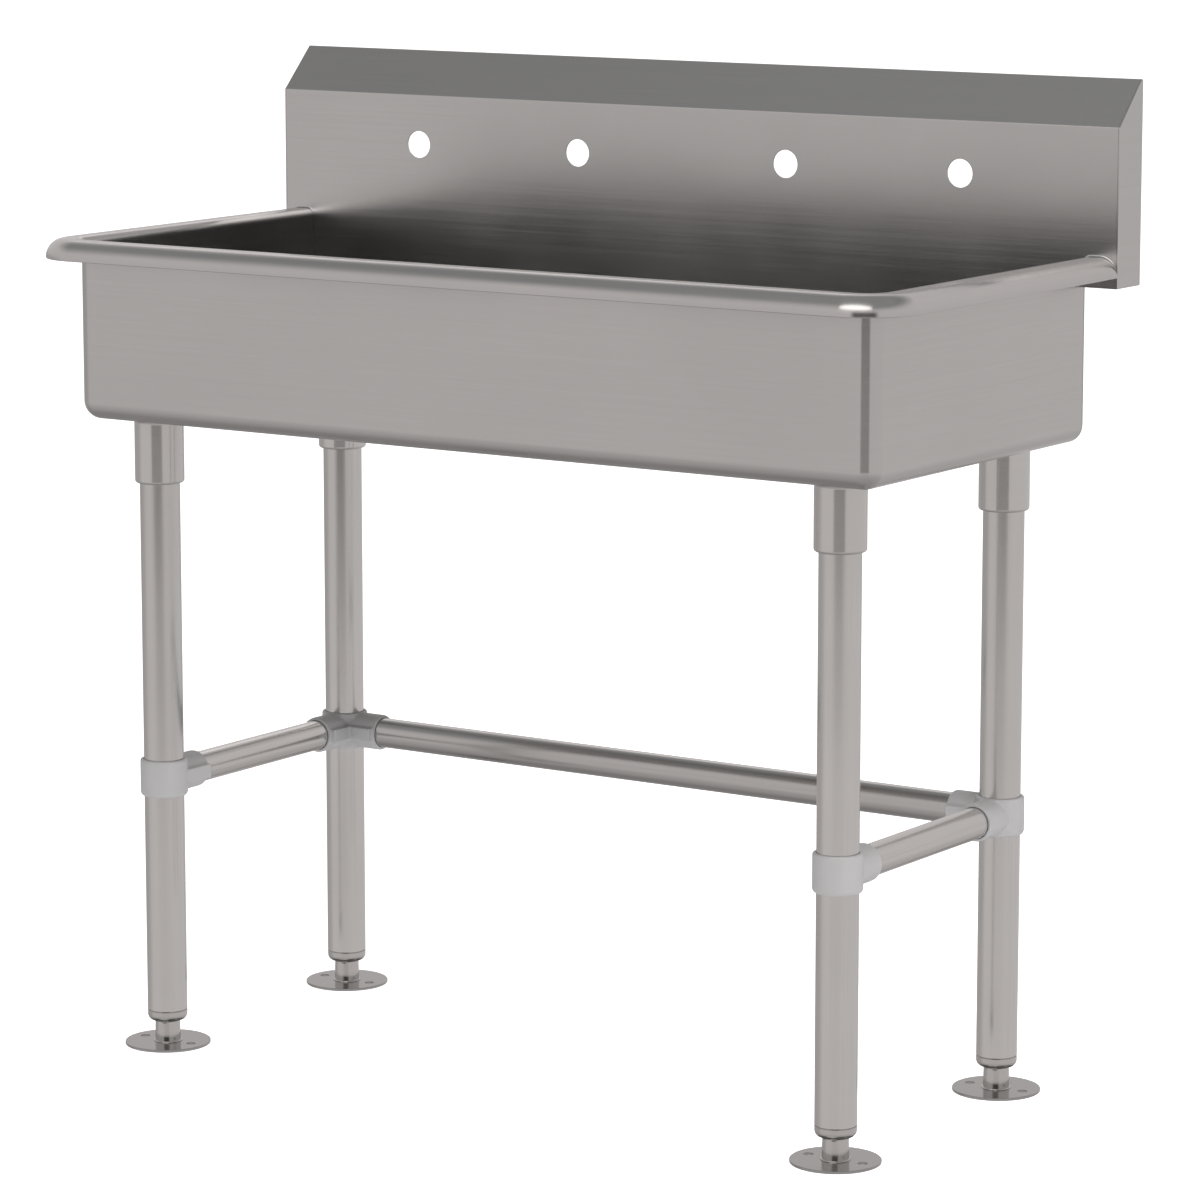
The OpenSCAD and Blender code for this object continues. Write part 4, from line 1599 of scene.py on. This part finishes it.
@dataclass
class RailFittings:
    """Cast slip-on fittings that join the rails to the legs, with soft edges and flat pads."""

    stand: Stand
    collar_r: float = 24.5
    collar_h: float = 39
    low_edge: float = 4
    top_edge: float = 2
    arm_r: float = 19.05
    arm_reach: float = 52
    arm_edge: float = 2
    pad_h: float = 15
    pad_out: float = 23.6
    pad_short: float = 2.5
    leg_bore_r: float = LEG_BORE_R
    rail_bore_r: float = 16.275
    rail_stop: float = 24.2
    arm_screw_in: float = 12
    bore_over: float = 1
    pad_steps: int = 12
    voxel: float = 1.0
    ease: float = 0.5
    ease_times: int = 7
    crease: float = 40

    def solids(self, arms: Sequence[float], pads: Sequence[tuple[float, int]],
               fill: int) -> list[MeshDraft]:
        """Closed forms that together make a fitting.

        Args:
            arms: Angle of each arm in plan.
            pads: Angle of each pad's arm, and the side of the arm it is on.
            fill: Side of the inner corner block, or 0 for none.

        Returns:
            The forms, round the leg axis at height zero.
        """
        half = self.collar_h / 2
        made = [turned(band(0, self.collar_r, -half, half, (0, self.low_edge, self.top_edge, 0)))]
        rod = turned(band(0, self.arm_r, 0, self.arm_reach, (0, 0, self.arm_edge, 0)))
        for angle in arms:
            made.append(rod.moved(pointing(Vector((0, 0, 0)), angle)))
        h = self.pad_h / 2
        far = self.arm_reach - self.pad_short
        outline = arc((self.pad_h, 0), h, 90, 270, self.pad_steps) + [(far, -h), (far, h)]
        for angle, side in pads:
            pad = sheet(outline, [], self.pad_out, 0)
            upright = Matrix.Rotation(side * -QUARTER, 4, "X")
            made.append(pad.moved(Matrix.Rotation(math.radians(angle), 4, "Z") @ upright))
        if fill:
            w = self.pad_out
            block = sheet([(0, -w), (w, -w), (w, 0), (0, 0)], [], self.pad_h, 0)
            place = standing(0 if fill > 0 else -w, 0, -h)
            made.append(block.moved(place))
        return made

    def bores(self, arms: Sequence[float], collar_screw: float,
              arm_screws: Sequence[float]) -> list[MeshDraft]:
        """Drills of a fitting, round the leg axis at height zero.

        Args:
            arms: Angle of each arm in plan.
            collar_screw: Angle of the collar's set screw in plan.
            arm_screws: Angle of each arm's set screw, from its arm.

        Returns:
            The drills.
        """
        tall = self.collar_h + 2 * self.bore_over
        screw_drill = drill(HOLE_R, DRILL_LEN, SMALL_STEPS)
        made = [drill(self.leg_bore_r, tall).moved(standing(0, 0, -tall / 2))]
        made.append(screw_drill.moved(
            Matrix.Rotation(math.radians(collar_screw), 4, "Z")
            @ pointing(Vector((self.stand.leg_r, 0, 0)), 0)))
        for angle, turn in zip(arms, arm_screws):
            swing = Matrix.Rotation(math.radians(angle), 4, "Z")
            deep = self.arm_reach - self.rail_stop + self.bore_over
            made.append(drill(self.rail_bore_r, deep).moved(
                swing @ pointing(Vector((self.rail_stop, 0, 0)), 0)))
            spot = Vector((self.arm_reach - self.arm_screw_in, 0, 0))
            out = Matrix.Rotation(math.radians(turn), 4, "Z") @ Vector((self.stand.rail_r, 0, 0))
            made.append(screw_drill.moved(swing @ pointing(spot + out, turn)))
        return made

    def cast(self, name: str, place: Vector, forms: list[MeshDraft],
             drills: list[MeshDraft]) -> bpy.types.Object:
        """Melts the forms into one casting with soft edges, then bores it.

        Args:
            name: Name of the piece.
            place: Middle of the fitting.
            forms: Closed forms to melt together.
            drills: Closed forms to take away.

        Returns:
            The fitting.
        """
        work = bmesh.new()
        for form in forms:
            part = form.moved(Matrix.Translation(place)).mesh("form")
            work.from_mesh(part)
            bpy.data.meshes.remove(part)
        mesh = bpy.data.meshes.new(name)
        work.to_mesh(mesh)
        work.free()
        piece = bpy.data.objects.new(name, mesh)
        bpy.context.scene.collection.objects.link(piece)
        melt = piece.modifiers.new("melt", "REMESH")
        melt.mode = "VOXEL"
        melt.voxel_size = self.voxel * MM
        ease = piece.modifiers.new("ease", "SMOOTH")
        ease.factor = self.ease
        ease.iterations = self.ease_times
        settled(piece)
        cut(piece, [d.moved(Matrix.Translation(place)).mesh("drill") for d in drills])
        return crisp(piece, self.crease)

    def fit(self, fitter: Fitter) -> None:
        """Builds and dresses the two tees and the two corners.

        Args:
            fitter: Takes the finished pieces.
        """
        stand = self.stand
        for word, sx in (("left", -1), ("right", 1)):
            place = Vector((sx * stand.leg_x, stand.front_y, stand.rail_z))
            forms = self.solids([90], [(90, sx)], 0)
            tee = self.cast(f"cast_tee_{word}", place, forms, self.bores([90], 180, [90]))
            fitter.fit(tee, "cast_fitting_skin", "frame", "cast_fitting", f"rail_tee_{word}")
            inward, side = (0, 1) if sx < 0 else (180, -1)
            place = Vector((sx * stand.leg_x, stand.rear_y, stand.rail_z))
            forms = self.solids([-90, inward], [(-90, side), (inward, -side)], side)
            turn = 90 if sx < 0 else -90
            corner = self.cast(f"cast_corner_{word}", place, forms,
                               self.bores([-90, inward], 90, [-90, turn]))
            fitter.fit(corner, "cast_fitting_skin", "frame", "cast_fitting", f"rail_corner_{word}")


@dataclass
class SetScrews:
    """Headless hexagon-socket screws of the cups and of the rail fittings."""

    stand: Stand
    cups: LegCups
    fittings: RailFittings
    radius: float = 3.95
    length: float = 5.6
    hexagon: float = 4
    hexagon_depth: float = 3
    tip_gap: float = 0.02

    def seats(self) -> tuple[list[tuple[Vector, float]], list[tuple[Vector, float]]]:
        """Tip point and outward angle of each screw: the cups' screws, then the fittings'.

        Returns:
            The cups' seats and the fittings' seats.
        """
        stand = self.stand
        high = stand.floor_z - self.cups.height + self.cups.screw_up
        cups = []
        for leg in Leg:
            x, y = stand.spot(leg)
            cups.append((Vector((x, y + stand.leg_r, high)), 90.0))
        rest = []
        reach = self.fittings.arm_reach - self.fittings.arm_screw_in
        z = stand.rail_z
        for sx in (-1, 1):
            x = sx * stand.leg_x
            rest.append((Vector((x - stand.leg_r, stand.front_y, z)), 180.0))
            rest.append((Vector((x, stand.rear_y + stand.leg_r, z)), 90.0))
            rest.append((Vector((x - stand.rail_r, stand.front_y + reach, z)), 180.0))
            rest.append((Vector((x - stand.rail_r, stand.rear_y - reach, z)), 180.0))
            rest.append((Vector((x - sx * reach, stand.rear_y + stand.rail_r, z)), 90.0))
        return cups, rest

    def row(self, tree: ShapeTree, name: str, seats: list[tuple[Vector, float]],
            finish: bpy.types.Material) -> bpy.types.Object:
        """Builds one set of screws.

        Args:
            tree: The screw tree.
            name: Name of the piece.
            seats: Tip point and outward angle of each screw.
            finish: Their material.

        Returns:
            The screws, as one piece.
        """
        seed = bpy.data.meshes.new("seats")
        spots, turns = [], []
        for tip, angle in seats:
            out = Vector((math.cos(math.radians(angle)), math.sin(math.radians(angle)), 0))
            spots.append(tuple((tip + out * (self.tip_gap + self.length / 2)) * MM))
            turns += [0.0, QUARTER, math.radians(angle)]
        seed.from_pydata(spots, [], [])
        store = seed.attributes.new("turn", "FLOAT_VECTOR", "POINT")
        store.data.foreach_set("vector", turns)
        mesh = tree.make(name, seed, {
            "Screw Radius": self.radius * MM, "Screw Length": self.length * MM,
            "Hexagon Radius": self.hexagon / 2 / math.cos(math.radians(30)) * MM,
            "Hexagon Depth": self.hexagon_depth * MM, "Finish": finish})
        return shown(mesh, name)

    def fit(self, fitter: Fitter) -> None:
        """Builds and dresses both sets.

        Args:
            fitter: Takes the finished pieces.
        """
        tree = screw_tree()
        cups, rest = self.seats()
        dark = fitter.finishes["dark_screw"]
        fitter.fit(self.row(tree, "cup_screws", cups, dark), "dark_screw", "frame",
                   "screw_steel", "socket_set_screws")
        fitter.fit(self.row(tree, "rail_fitting_screws", rest, dark), "dark_screw", "frame",
                   "screw_steel", "fitting_set_screws")


@dataclass
class Feet:
    """Screw feet: bored insert, threaded stem with a hexagon, and a round floor plate."""

    stand: Stand
    plate_r: float = 44.45
    plate_t: float = 2.8
    anchor_r: float = 4.75
    anchor_pitch: float = 60.3
    swivel_r: float = 6.08
    plate_edge: float = 0.3
    play: float = 0.1
    pivot_r: float = 6
    pivot_head_r: float = 7.5
    pivot_head_h: float = 0.9
    hex_flats: float = 27
    hex_corner_r: float = 13.4
    taper_from: float = 3
    taper_to: float = 24
    seat_r: float = 14.8
    seat_h: float = 1.0
    seat_edge: float = 0.8
    neck_r: float = 12.9
    neck_top: float = 25
    neck_edge: float = 0.8
    stud_r: float = 9.5
    stud_top: float = 81
    stud_edge: float = 1.2
    root_depth: float = 1.2
    thread_depth: float = 1.25
    thread_turns: float = 20.5
    thread_up: float = 1.6
    pitch: float = 2.54
    insert_low: float = 25.2
    lip_top: float = 36.4
    insert_edge: float = 6.75
    insert_top: float = 63.2
    step_w: float = 1.6
    step_h: float = 0.8
    plug_r: float = 18.95
    plug_edge: float = 0.6
    lip_edge: float = 0.3
    bore_r: float = 9.58
    bore_edge: float = 0.4
    insert_steps: int = 12
    swivel_steps: int = 48
    plate_steps: int = 128
    hex_steps: int = 120
    hex_levels: int = 20
    post_steps: int = 72

    def insert(self, leg: Leg) -> bpy.types.Object:
        """Builds the insert pressed into one leg.

        Args:
            leg: The leg.

        Returns:
            The insert.
        """
        r, low = self.stand.leg_r, self.insert_low
        step = self.lip_top + self.step_h
        section = (
            [(self.bore_r + self.bore_edge, low)]
            + arc((r - self.insert_edge, low + self.insert_edge), self.insert_edge, -90, 0,
                  self.insert_steps)
            + [(r, self.lip_top - self.lip_edge), (r - self.lip_edge, self.lip_top),
               (r - self.step_w, self.lip_top), (r - self.step_w, step), (self.plug_r, step),
               (self.plug_r, self.insert_top - self.plug_edge),
               (self.plug_r - self.plug_edge, self.insert_top), (self.bore_r, self.insert_top),
               (self.bore_r, low + self.bore_edge)]
        )
        x, y = self.stand.spot(leg)
        name = f"leg_insert_{leg.value}"
        return shown(turned(section).moved(standing(x, y)).mesh(name), name)

    def plate(self, leg: Leg) -> bpy.types.Object:
        """Builds the floor plate of one leg.

        Args:
            leg: The leg.

        Returns:
            The plate.
        """
        x, y = self.stand.spot(leg)
        half = self.anchor_pitch / 2
        holes = [ring((side * half, 0), self.anchor_r, SMALL_STEPS) for side in (-1, 1)]
        holes.append(ring((0, 0), self.swivel_r, self.swivel_steps))
        name = f"floor_plate_{leg.value}"
        draft = sheet(ring((0, 0), self.plate_r, self.plate_steps), holes, self.plate_t,
                      self.plate_edge)
        return shown(draft.moved(standing(x, y)).mesh(name), name)

    def spanner_part(self, low: float) -> MeshDraft:
        """Builds the hexagon for a spanner, its corners turned down and drawn in to the neck.

        Args:
            low: Height of its lower end.

        Returns:
            The draft, standing on the axis.
        """
        steps, levels = self.hex_steps, self.hex_levels
        rows: list[list[Vector]] = []
        heights = [low + (self.taper_to - low) * k / levels for k in range(levels + 1)]
        for z in heights:
            share = min(1.0, max(0.0, (z - self.taper_from) / (self.taper_to - self.taper_from)))
            turned_r = self.hex_corner_r + (self.neck_r - self.hex_corner_r) * share
            row = []
            for k in range(steps):
                angle = TURN * k / steps
                off_flat = angle % (TURN / HEX_SIDES) - TURN / (2 * HEX_SIDES)
                r = min(turned_r, self.hex_flats / 2 / math.cos(off_flat))
                row.append(Vector((r * math.cos(angle), r * math.sin(angle), z)))
            rows.append(row)
        made = MeshDraft()
        made.skin(rows, heights, [self.hex_corner_r * TURN * k / steps for k in range(steps + 1)],
                  False, True)
        made.cap([rows[0]])
        made.cap([rows[-1]])
        return made

    def stem(self, leg: Leg, thread: ShapeTree, finish: bpy.types.Material) -> bpy.types.Object:
        """Builds the screw stem of one leg.

        Args:
            leg: The leg.
            thread: The thread tree.
            finish: Material of the thread while it is made.

        Returns:
            The stem with its hexagon, neck and thread.
        """
        x, y = self.stand.spot(leg)
        name = f"screw_foot_{leg.value}"
        low = self.plate_t + self.play
        body = shown(self.spanner_part(low).moved(standing(x, y)).mesh(name), name)
        root = self.stud_r - self.root_depth
        post = turned(soften([
            (0, self.play, 0), (self.pivot_head_r, self.play, 0),
            (self.pivot_r, self.play + self.pivot_head_h, 0), (self.pivot_r, low, 0),
            (self.seat_r, low, 0), (self.seat_r, low + self.seat_h, self.seat_edge),
            (self.neck_r, low + self.seat_h, 0), (self.neck_r, self.neck_top, self.neck_edge),
            (root, self.neck_top, 0), (root, self.stud_top, self.stud_edge),
            (0, self.stud_top, 0)], steps=4), self.post_steps).moved(standing(x, y))
        wound = thread.make("thread", bpy.data.meshes.new("seed"), {
            "Root Radius": (self.stud_r - self.thread_depth) * MM,
            "Thread Depth": self.thread_depth * MM, "Turns": self.thread_turns,
            "Height": self.thread_turns * self.pitch * MM,
            "Place": (x * MM, y * MM, (self.neck_top + self.thread_up) * MM), "Finish": finish})
        with editing(body.data) as work:
            for mesh in (post.mesh("post"), wound):
                first = len(work.faces)
                work.from_mesh(mesh)
                work.faces.ensure_lookup_table()
                bmesh.ops.recalc_face_normals(work, faces=work.faces[first:])
        return crisp(body)

    def fit(self, fitter: Fitter) -> None:
        """Builds and dresses the four feet.

        Args:
            fitter: Takes the finished pieces.
        """
        thread = thread_tree()
        for leg in Leg:
            tag, word = leg.value, leg.name.lower()
            fitter.fit(self.insert(leg), "foot_turned", "frame", "foot_metal", f"foot_insert_{tag}")
            fitter.fit(self.plate(leg), "plate_sheet", f"plate_{word}", "plate_steel",
                       f"foot_plate_{tag}")
            stem = self.stem(leg, thread, fitter.finishes["foot_turned"])
            fitter.fit(stem, "foot_turned", f"stem_{word}", "foot_metal", f"foot_stem_{tag}")


@dataclass
class Drain:
    """Drain under the bowl: flanged cup, gasket, lock nut and a lift-out strainer."""

    y: float = DRAIN_Y
    floor_z: float = FLOOR_Z
    sheet_t: float = SHEET_T
    flange_r: float = 57.15
    flange_t: float = 2.5
    flange_edge: float = 1.8
    shell_r: float = 43.25
    wall: float = 3.5
    mouth_edge: float = 1.2
    seat_edge: float = 0.2
    cup_h: float = 24.5
    cup_floor: float = 3
    cup_edges: Flat = (1, 0.8)
    shell_edge: float = 1
    outlet_r: float = 24.15
    outlet_t: float = 3
    outlet_len: float = 8
    outlet_edges: Flat = (0.3, 0.5)
    outlet_root: float = 0.6
    ledge_w: float = 6
    ledge_t: float = 2.5
    ledge_edges: Flat = (0.4, 0.3)
    ledge_down: float = 11
    gasket_t: float = 3
    gasket_w: float = 11
    gasket_edges: tuple[float, ...] = (0.3, 0.8, 0.4, 0)
    nut_h: float = 10
    nut_w: float = 9
    nut_edges: tuple[float, ...] = (0.4, 0.6, 0.4, 0.3)
    play: float = 0.2
    lugs: int = 8
    lug_w: float = 10
    lug_short: float = 0.4
    sieve_gap: float = 0.4
    sieve_rest: float = 0.1
    sieve_t: float = 1.5
    sieve_edges: tuple[float, ...] = (0, 0.3, 0.4, 0)
    sieve_hole_r: float = 2.3
    sieve_rings: tuple[tuple[float, int], ...] = ((10, 6), (18, 12), (26, 18), (33.5, 24))
    knob_r: float = 9
    knob_h: float = 6
    knob_edge: float = 2
    knob_steps: int = 64
    stem_r: float = 3.5
    stem_h: float = 12
    stem_in: float = 0.2
    stem_flare: float = 0.8
    stem_edge: float = 0.5

    def cup(self) -> bpy.types.Object:
        """Builds the flanged cup.

        Returns:
            The cup.
        """
        seat = self.floor_z + self.sheet_t
        top, low = seat + self.flange_t, self.floor_z - self.cup_h
        inner = self.shell_r - self.wall
        shelf = self.floor_z - self.ledge_down
        out, thick = self.outlet_r, self.outlet_t
        ledge, floor, pipe = self.ledge_edges, self.cup_edges, self.outlet_edges
        section = soften([
            (inner, top, self.mouth_edge), (inner, shelf, 0), (inner - self.ledge_w, shelf, ledge[0]),
            (inner - self.ledge_w, shelf - self.ledge_t, 0), (inner, shelf - self.ledge_t, ledge[1]),
            (inner, low + self.cup_floor, floor[0]), (out - thick, low + self.cup_floor, floor[1]),
            (out - thick, low - self.outlet_len, pipe[0]), (out, low - self.outlet_len, pipe[1]),
            (out, low, self.outlet_root), (self.shell_r, low, self.shell_edge),
            (self.shell_r, seat, self.seat_edge), (self.flange_r, seat, self.seat_edge),
            (self.flange_r, top, self.flange_edge)])
        return shown(turned(section).moved(standing(0, self.y)).mesh("drain_cup"), "drain_cup")

    def gasket(self) -> bpy.types.Object:
        """Builds the rubber ring.

        Returns:
            The ring.
        """
        inner = self.shell_r + self.play
        low, outer = self.floor_z - self.gasket_t, inner + self.gasket_w
        section = band(inner, outer, low, self.floor_z, self.gasket_edges, steps=4)
        return shown(turned(section).moved(standing(0, self.y)).mesh("rubber_ring"), "rubber_ring")

    def nut(self, finish: bpy.types.Material) -> bpy.types.Object:
        """Builds the lock nut with its lugs.

        Args:
            finish: Its material while it is made.

        Returns:
            The nut.
        """
        inner = self.shell_r + self.play
        outer, top = inner + self.nut_w, self.floor_z - self.gasket_t
        low = top - self.nut_h
        section = band(inner, outer, low, top, self.nut_edges, steps=3)
        ringed = turned(section).moved(standing(0, self.y)).mesh("nut_ring")
        mesh = lug_tree().make("lock_ring", ringed, {
            "Lug Count": self.lugs, "Ring Radius": outer * MM, "Lug Width": self.lug_w * MM,
            "Lug Height": (self.nut_h - self.lug_short) * MM,
            "Middle": (0, self.y * MM, (low + self.nut_h / 2) * MM),
            "Finish": finish})
        return crisp(shown(mesh, "lock_ring"))

    def strainer(self, finish: bpy.types.Material) -> bpy.types.Object:
        """Builds the perforated disc with its knob.

        Args:
            finish: Its material while it is made.

        Returns:
            The strainer.
        """
        r = self.shell_r - self.wall - self.sieve_gap
        low = self.floor_z - self.ledge_down + self.sieve_rest
        top = low + self.sieve_t
        section = band(0, r, low, top, self.sieve_edges, steps=3)
        disc = turned(section).moved(standing(0, self.y)).mesh("disc")
        sizes: dict[str, object] = {
            "Hole Radius": self.sieve_hole_r * MM, "Drill Length": 3 * self.sieve_t * MM,
            "Middle": (0, self.y * MM, (low + self.sieve_t / 2) * MM), "Finish": finish}
        for k, (radius, count) in enumerate(self.sieve_rings):
            sizes[f"Ring {k + 1} Radius"] = radius * MM
            sizes[f"Ring {k + 1} Count"] = count
        mesh = sieve_tree(len(self.sieve_rings)).make("sieve_plate", disc, sizes)
        head = top + self.stem_h
        knob = turned(soften([
            (0, top - self.stem_in, 0), (self.stem_r + self.stem_flare, top - self.stem_in, 0),
            (self.stem_r, top + self.stem_flare, 0), (self.stem_r, head, self.stem_edge),
            (self.knob_r, head, self.knob_edge),
            (self.knob_r, head + self.knob_h, self.knob_edge), (0, head + self.knob_h, 0)]),
            self.knob_steps)
        with editing(mesh) as work:
            work.from_mesh(knob.moved(standing(0, self.y)).mesh("knob"))
        return crisp(shown(mesh, "sieve_plate"))

    def fit(self, fitter: Fitter) -> None:
        """Builds and dresses the drain.

        Args:
            fitter: Takes the finished pieces.
        """
        fitter.fit(self.cup(), "drain_polish", "frame", "drain_steel", "drain_body")
        fitter.fit(self.gasket(), "gasket_black", "frame", "gasket_rubber", "drain_gasket")
        fitter.fit(self.nut(fitter.finishes["nut_brass"]), "nut_brass", "frame", "locknut_brass",
                   "drain_locknut")
        fitter.fit(self.strainer(fitter.finishes["drain_polish"]), "drain_polish", "strainer",
                   "drain_steel", "drain_strainer")


# studio


@dataclass(frozen=True)
class SoftLamp:
    """One soft oval lamp: bearing and height in degrees, distance and size in metres, its radiance."""

    name: str
    bearing: float
    height: float
    distance: float
    size: Flat
    glow: float
    shows: bool

    def build(self, aim_z: float, tint: Colour) -> None:
        """Hangs the lamp and turns it to the sink.

        Args:
            aim_z: Height it is aimed at, in metres.
            tint: Colour of its light.
        """
        a, b = math.radians(self.bearing), math.radians(self.height)
        way = Vector((math.cos(b) * math.cos(a), math.cos(b) * math.sin(a), math.sin(b)))
        data = bpy.data.lights.new(self.name, "AREA")
        data.shape = "ELLIPSE"
        data.size = self.size[0]
        data.size_y = self.size[1]
        face = math.pi / 4 * self.size[0] * self.size[1]
        data.energy = self.glow * math.pi * face
        data.color = tint
        lamp = bpy.data.objects.new(self.name, data)
        lamp.location = way * self.distance + Vector((0, 0, aim_z))
        lamp.rotation_euler = (-way).to_track_quat("-Z", "Y").to_euler()
        lamp.visible_glossy = self.shows
        lamp.visible_camera = False
        bpy.context.scene.collection.objects.link(lamp)


@dataclass(frozen=True)
class DarkWall:
    """Darker stretch of the room: bearing, full and outer half width in degrees, lower and upper limit."""

    bearing: float
    near: float
    far: float
    low: float
    high: float
    loss: float


@dataclass
class Studio:
    """Pale floor, soft grey room, lamps and the camera, with lengths in metres."""

    eye: tuple[float, float, float] = (2.79656, -4.15685, 1.33607)
    tilt: float = 0.168274
    heading: float = 0.586844
    lens: float = 150.84
    sensor: float = 36
    sight: Flat = (0.1, 200)
    floor_half: float = 30
    floor_drop: float = 0.0004
    floor_glow: float = 0.9
    floor_rough: float = 0.9
    floor_tint: Colour = (0.93, 0.93, 0.93)
    aim_z: float = 0.8
    warmth: Colour = (1, 0.955, 0.945)
    cool_above: float = 0.7
    brightness: tuple[Flat, ...] = (
        (-1, 0.38), (-0.5, 0.52), (-0.26, 0.67), (-0.16, 0.67), (-0.125, 0.62), (0, 0.62), (0.12, 0.66),
        (0.5, 0.68), (0.62, 0.5), (0.74, 0.3), (0.8, 0.26), (0.87, 0.33), (1, 0.3))
    dark_walls: tuple[DarkWall, ...] = (
        DarkWall(-64, 21, 27, -0.145, 0.3, 0.92), DarkWall(168, 25, 50, -1, 0, 0.3))
    low_edge: float = 0.015
    high_edge: float = 0.1
    lamps: tuple[SoftLamp, ...] = (
        SoftLamp("corner_light", -82, 46, 5.5, (5.8, 2.5), 1.8, True),
        SoftLamp("back_strip", 128, 27, 5.5, (2.6, 1.5), 0.45, True),
        SoftLamp("fill", -22, 38, 2.2, (1.35, 1.35), 9, False))

    def camera(self) -> None:
        """Places the camera."""
        data = bpy.data.cameras.new("camera")
        data.lens, data.sensor_width, data.sensor_fit = self.lens, self.sensor, "HORIZONTAL"
        data.clip_start, data.clip_end = self.sight
        seat = bpy.data.objects.new("camera", data)
        seat.location = self.eye
        seat.rotation_euler = (QUARTER - self.tilt, 0, self.heading)
        bpy.context.scene.collection.objects.link(seat)
        bpy.context.scene.camera = seat

    def floor(self) -> None:
        """Lays the pale floor."""
        h = self.floor_half
        mesh = bpy.data.meshes.new("floor")
        mesh.from_pydata([(-h, -h, -self.floor_drop), (h, -h, -self.floor_drop),
                          (h, h, -self.floor_drop), (-h, h, -self.floor_drop)], [], [(0, 1, 2, 3)])
        floor = bpy.data.objects.new("floor", mesh)
        bpy.context.scene.collection.objects.link(floor)
        paint = bpy.data.materials.new("pale_floor")
        pen = NodePen(paint)
        shader = pen.add("ShaderNodeBsdfPrincipled",
                         {"Base Color": (*self.floor_tint, 1), "Roughness": self.floor_rough,
                          "Specular IOR Level": 0.0, "Emission Color": (1, 1, 1, 1),
                          "Emission Strength": self.floor_glow})
        below = pen.add("ShaderNodeNewGeometry").outputs["Backfacing"]
        clear = pen.add("ShaderNodeBsdfTransparent")
        sided = pen.add("ShaderNodeMixShader", {0: below, 1: shader.outputs[0], 2: clear.outputs[0]})
        pen.tree.links.new(sided.outputs[0], pen.output.inputs[0])
        mesh.materials.append(paint)
        floor.visible_glossy = False

    def toward(self, pen: NodePen, way: bpy.types.NodeSocket, bearing: float, near: float,
               far: float) -> bpy.types.NodeSocket:
        """Share, from 0 to 1, by which a level direction lies near a bearing.

        Args:
            pen: Pen of the room's nodes.
            way: Level direction, of length one.
            bearing: Bearing in degrees from +X.
            near: Angle from the bearing up to which the share is one.
            far: Angle from which it is zero.

        Returns:
            The share.
        """
        angle = math.radians(bearing)
        along = pen.add("ShaderNodeVectorMath",
                        {0: way, 1: (math.cos(angle), math.sin(angle), 0)}, operation="DOT_PRODUCT")
        return pen.between(along.outputs["Value"], 0, 1,
                           (math.cos(math.radians(far)), math.cos(math.radians(near))))

    def room(self) -> None:
        """Lights the part with a grey room: darker overhead, below and at the dark walls."""
        world = bpy.data.worlds.new("room")
        bpy.context.scene.world = world
        pen = NodePen(world)
        way = pen.add("ShaderNodeTexCoord").outputs["Generated"]
        rise = pen.add("ShaderNodeSeparateXYZ", {0: way}).outputs["Z"]
        flat = pen.add("ShaderNodeVectorMath", {0: way, 1: (1, 1, 0)}, operation="MULTIPLY")
        level = pen.add("ShaderNodeVectorMath", {0: flat.outputs[0]}, operation="NORMALIZE").outputs[0]
        ramp = pen.add("ShaderNodeValToRGB", {0: pen.between(rise, 0, 1, (-1, 1))})
        marks = ramp.color_ramp.elements
        while len(marks) < len(self.brightness):
            marks.new(0.5)
        for mark, (at, value) in zip(marks, self.brightness):
            mark.position = (at + 1) / 2
            warm = self.warmth if at < self.cool_above else (1, 1, 1)
            mark.color = (*(value * c for c in warm), 1)
        glow = ramp.outputs[0]
        for wall in self.dark_walls:
            side = self.toward(pen, level, wall.bearing, wall.near, wall.far)
            above = pen.between(rise, 0, 1, (wall.low - self.low_edge, wall.low))
            below = pen.between(rise, 1, 0, (wall.high, wall.high + self.high_edge))
            share = pen.maths("MULTIPLY", side, pen.maths("MULTIPLY", above, below))
            keep = pen.between(share, 1, 1 - wall.loss, (0, 1))
            glow = pen.dimmed(glow, keep)
        lit = pen.add("ShaderNodeBackground", {"Color": glow})
        plain = pen.add("ShaderNodeBackground", {"Color": (1, 1, 1, 1)})
        seen = pen.add("ShaderNodeLightPath").outputs["Is Camera Ray"]
        mix = pen.add("ShaderNodeMixShader", {0: seen, 1: lit.outputs[0], 2: plain.outputs[0]})
        pen.tree.links.new(mix.outputs[0], pen.output.inputs[0])

    def build(self) -> None:
        """Builds the whole studio."""
        self.camera()
        self.floor()
        self.room()
        for lamp in self.lamps:
            lamp.build(self.aim_z, self.warmth)
        bpy.context.scene.view_settings.view_transform = "Standard"


def main() -> None:
    """Builds the sink's looks in order."""
    logging.basicConfig(level=logging.INFO, format="%(message)s", stream=sys.stdout)
    Studio().build()
    fitter = Fitter(Finishes())
    stand = Stand()
    cups, fittings = LegCups(stand), RailFittings(stand)
    for part in (Bowl(), Backsplash(), cups, Tubes(stand), fittings,
                 SetScrews(stand, cups, fittings), Feet(stand), Drain()):
        part.fit(fitter)
    LOG.info("pieces: %d", fitter.pieces)


if __name__ == "__main__":
    main()
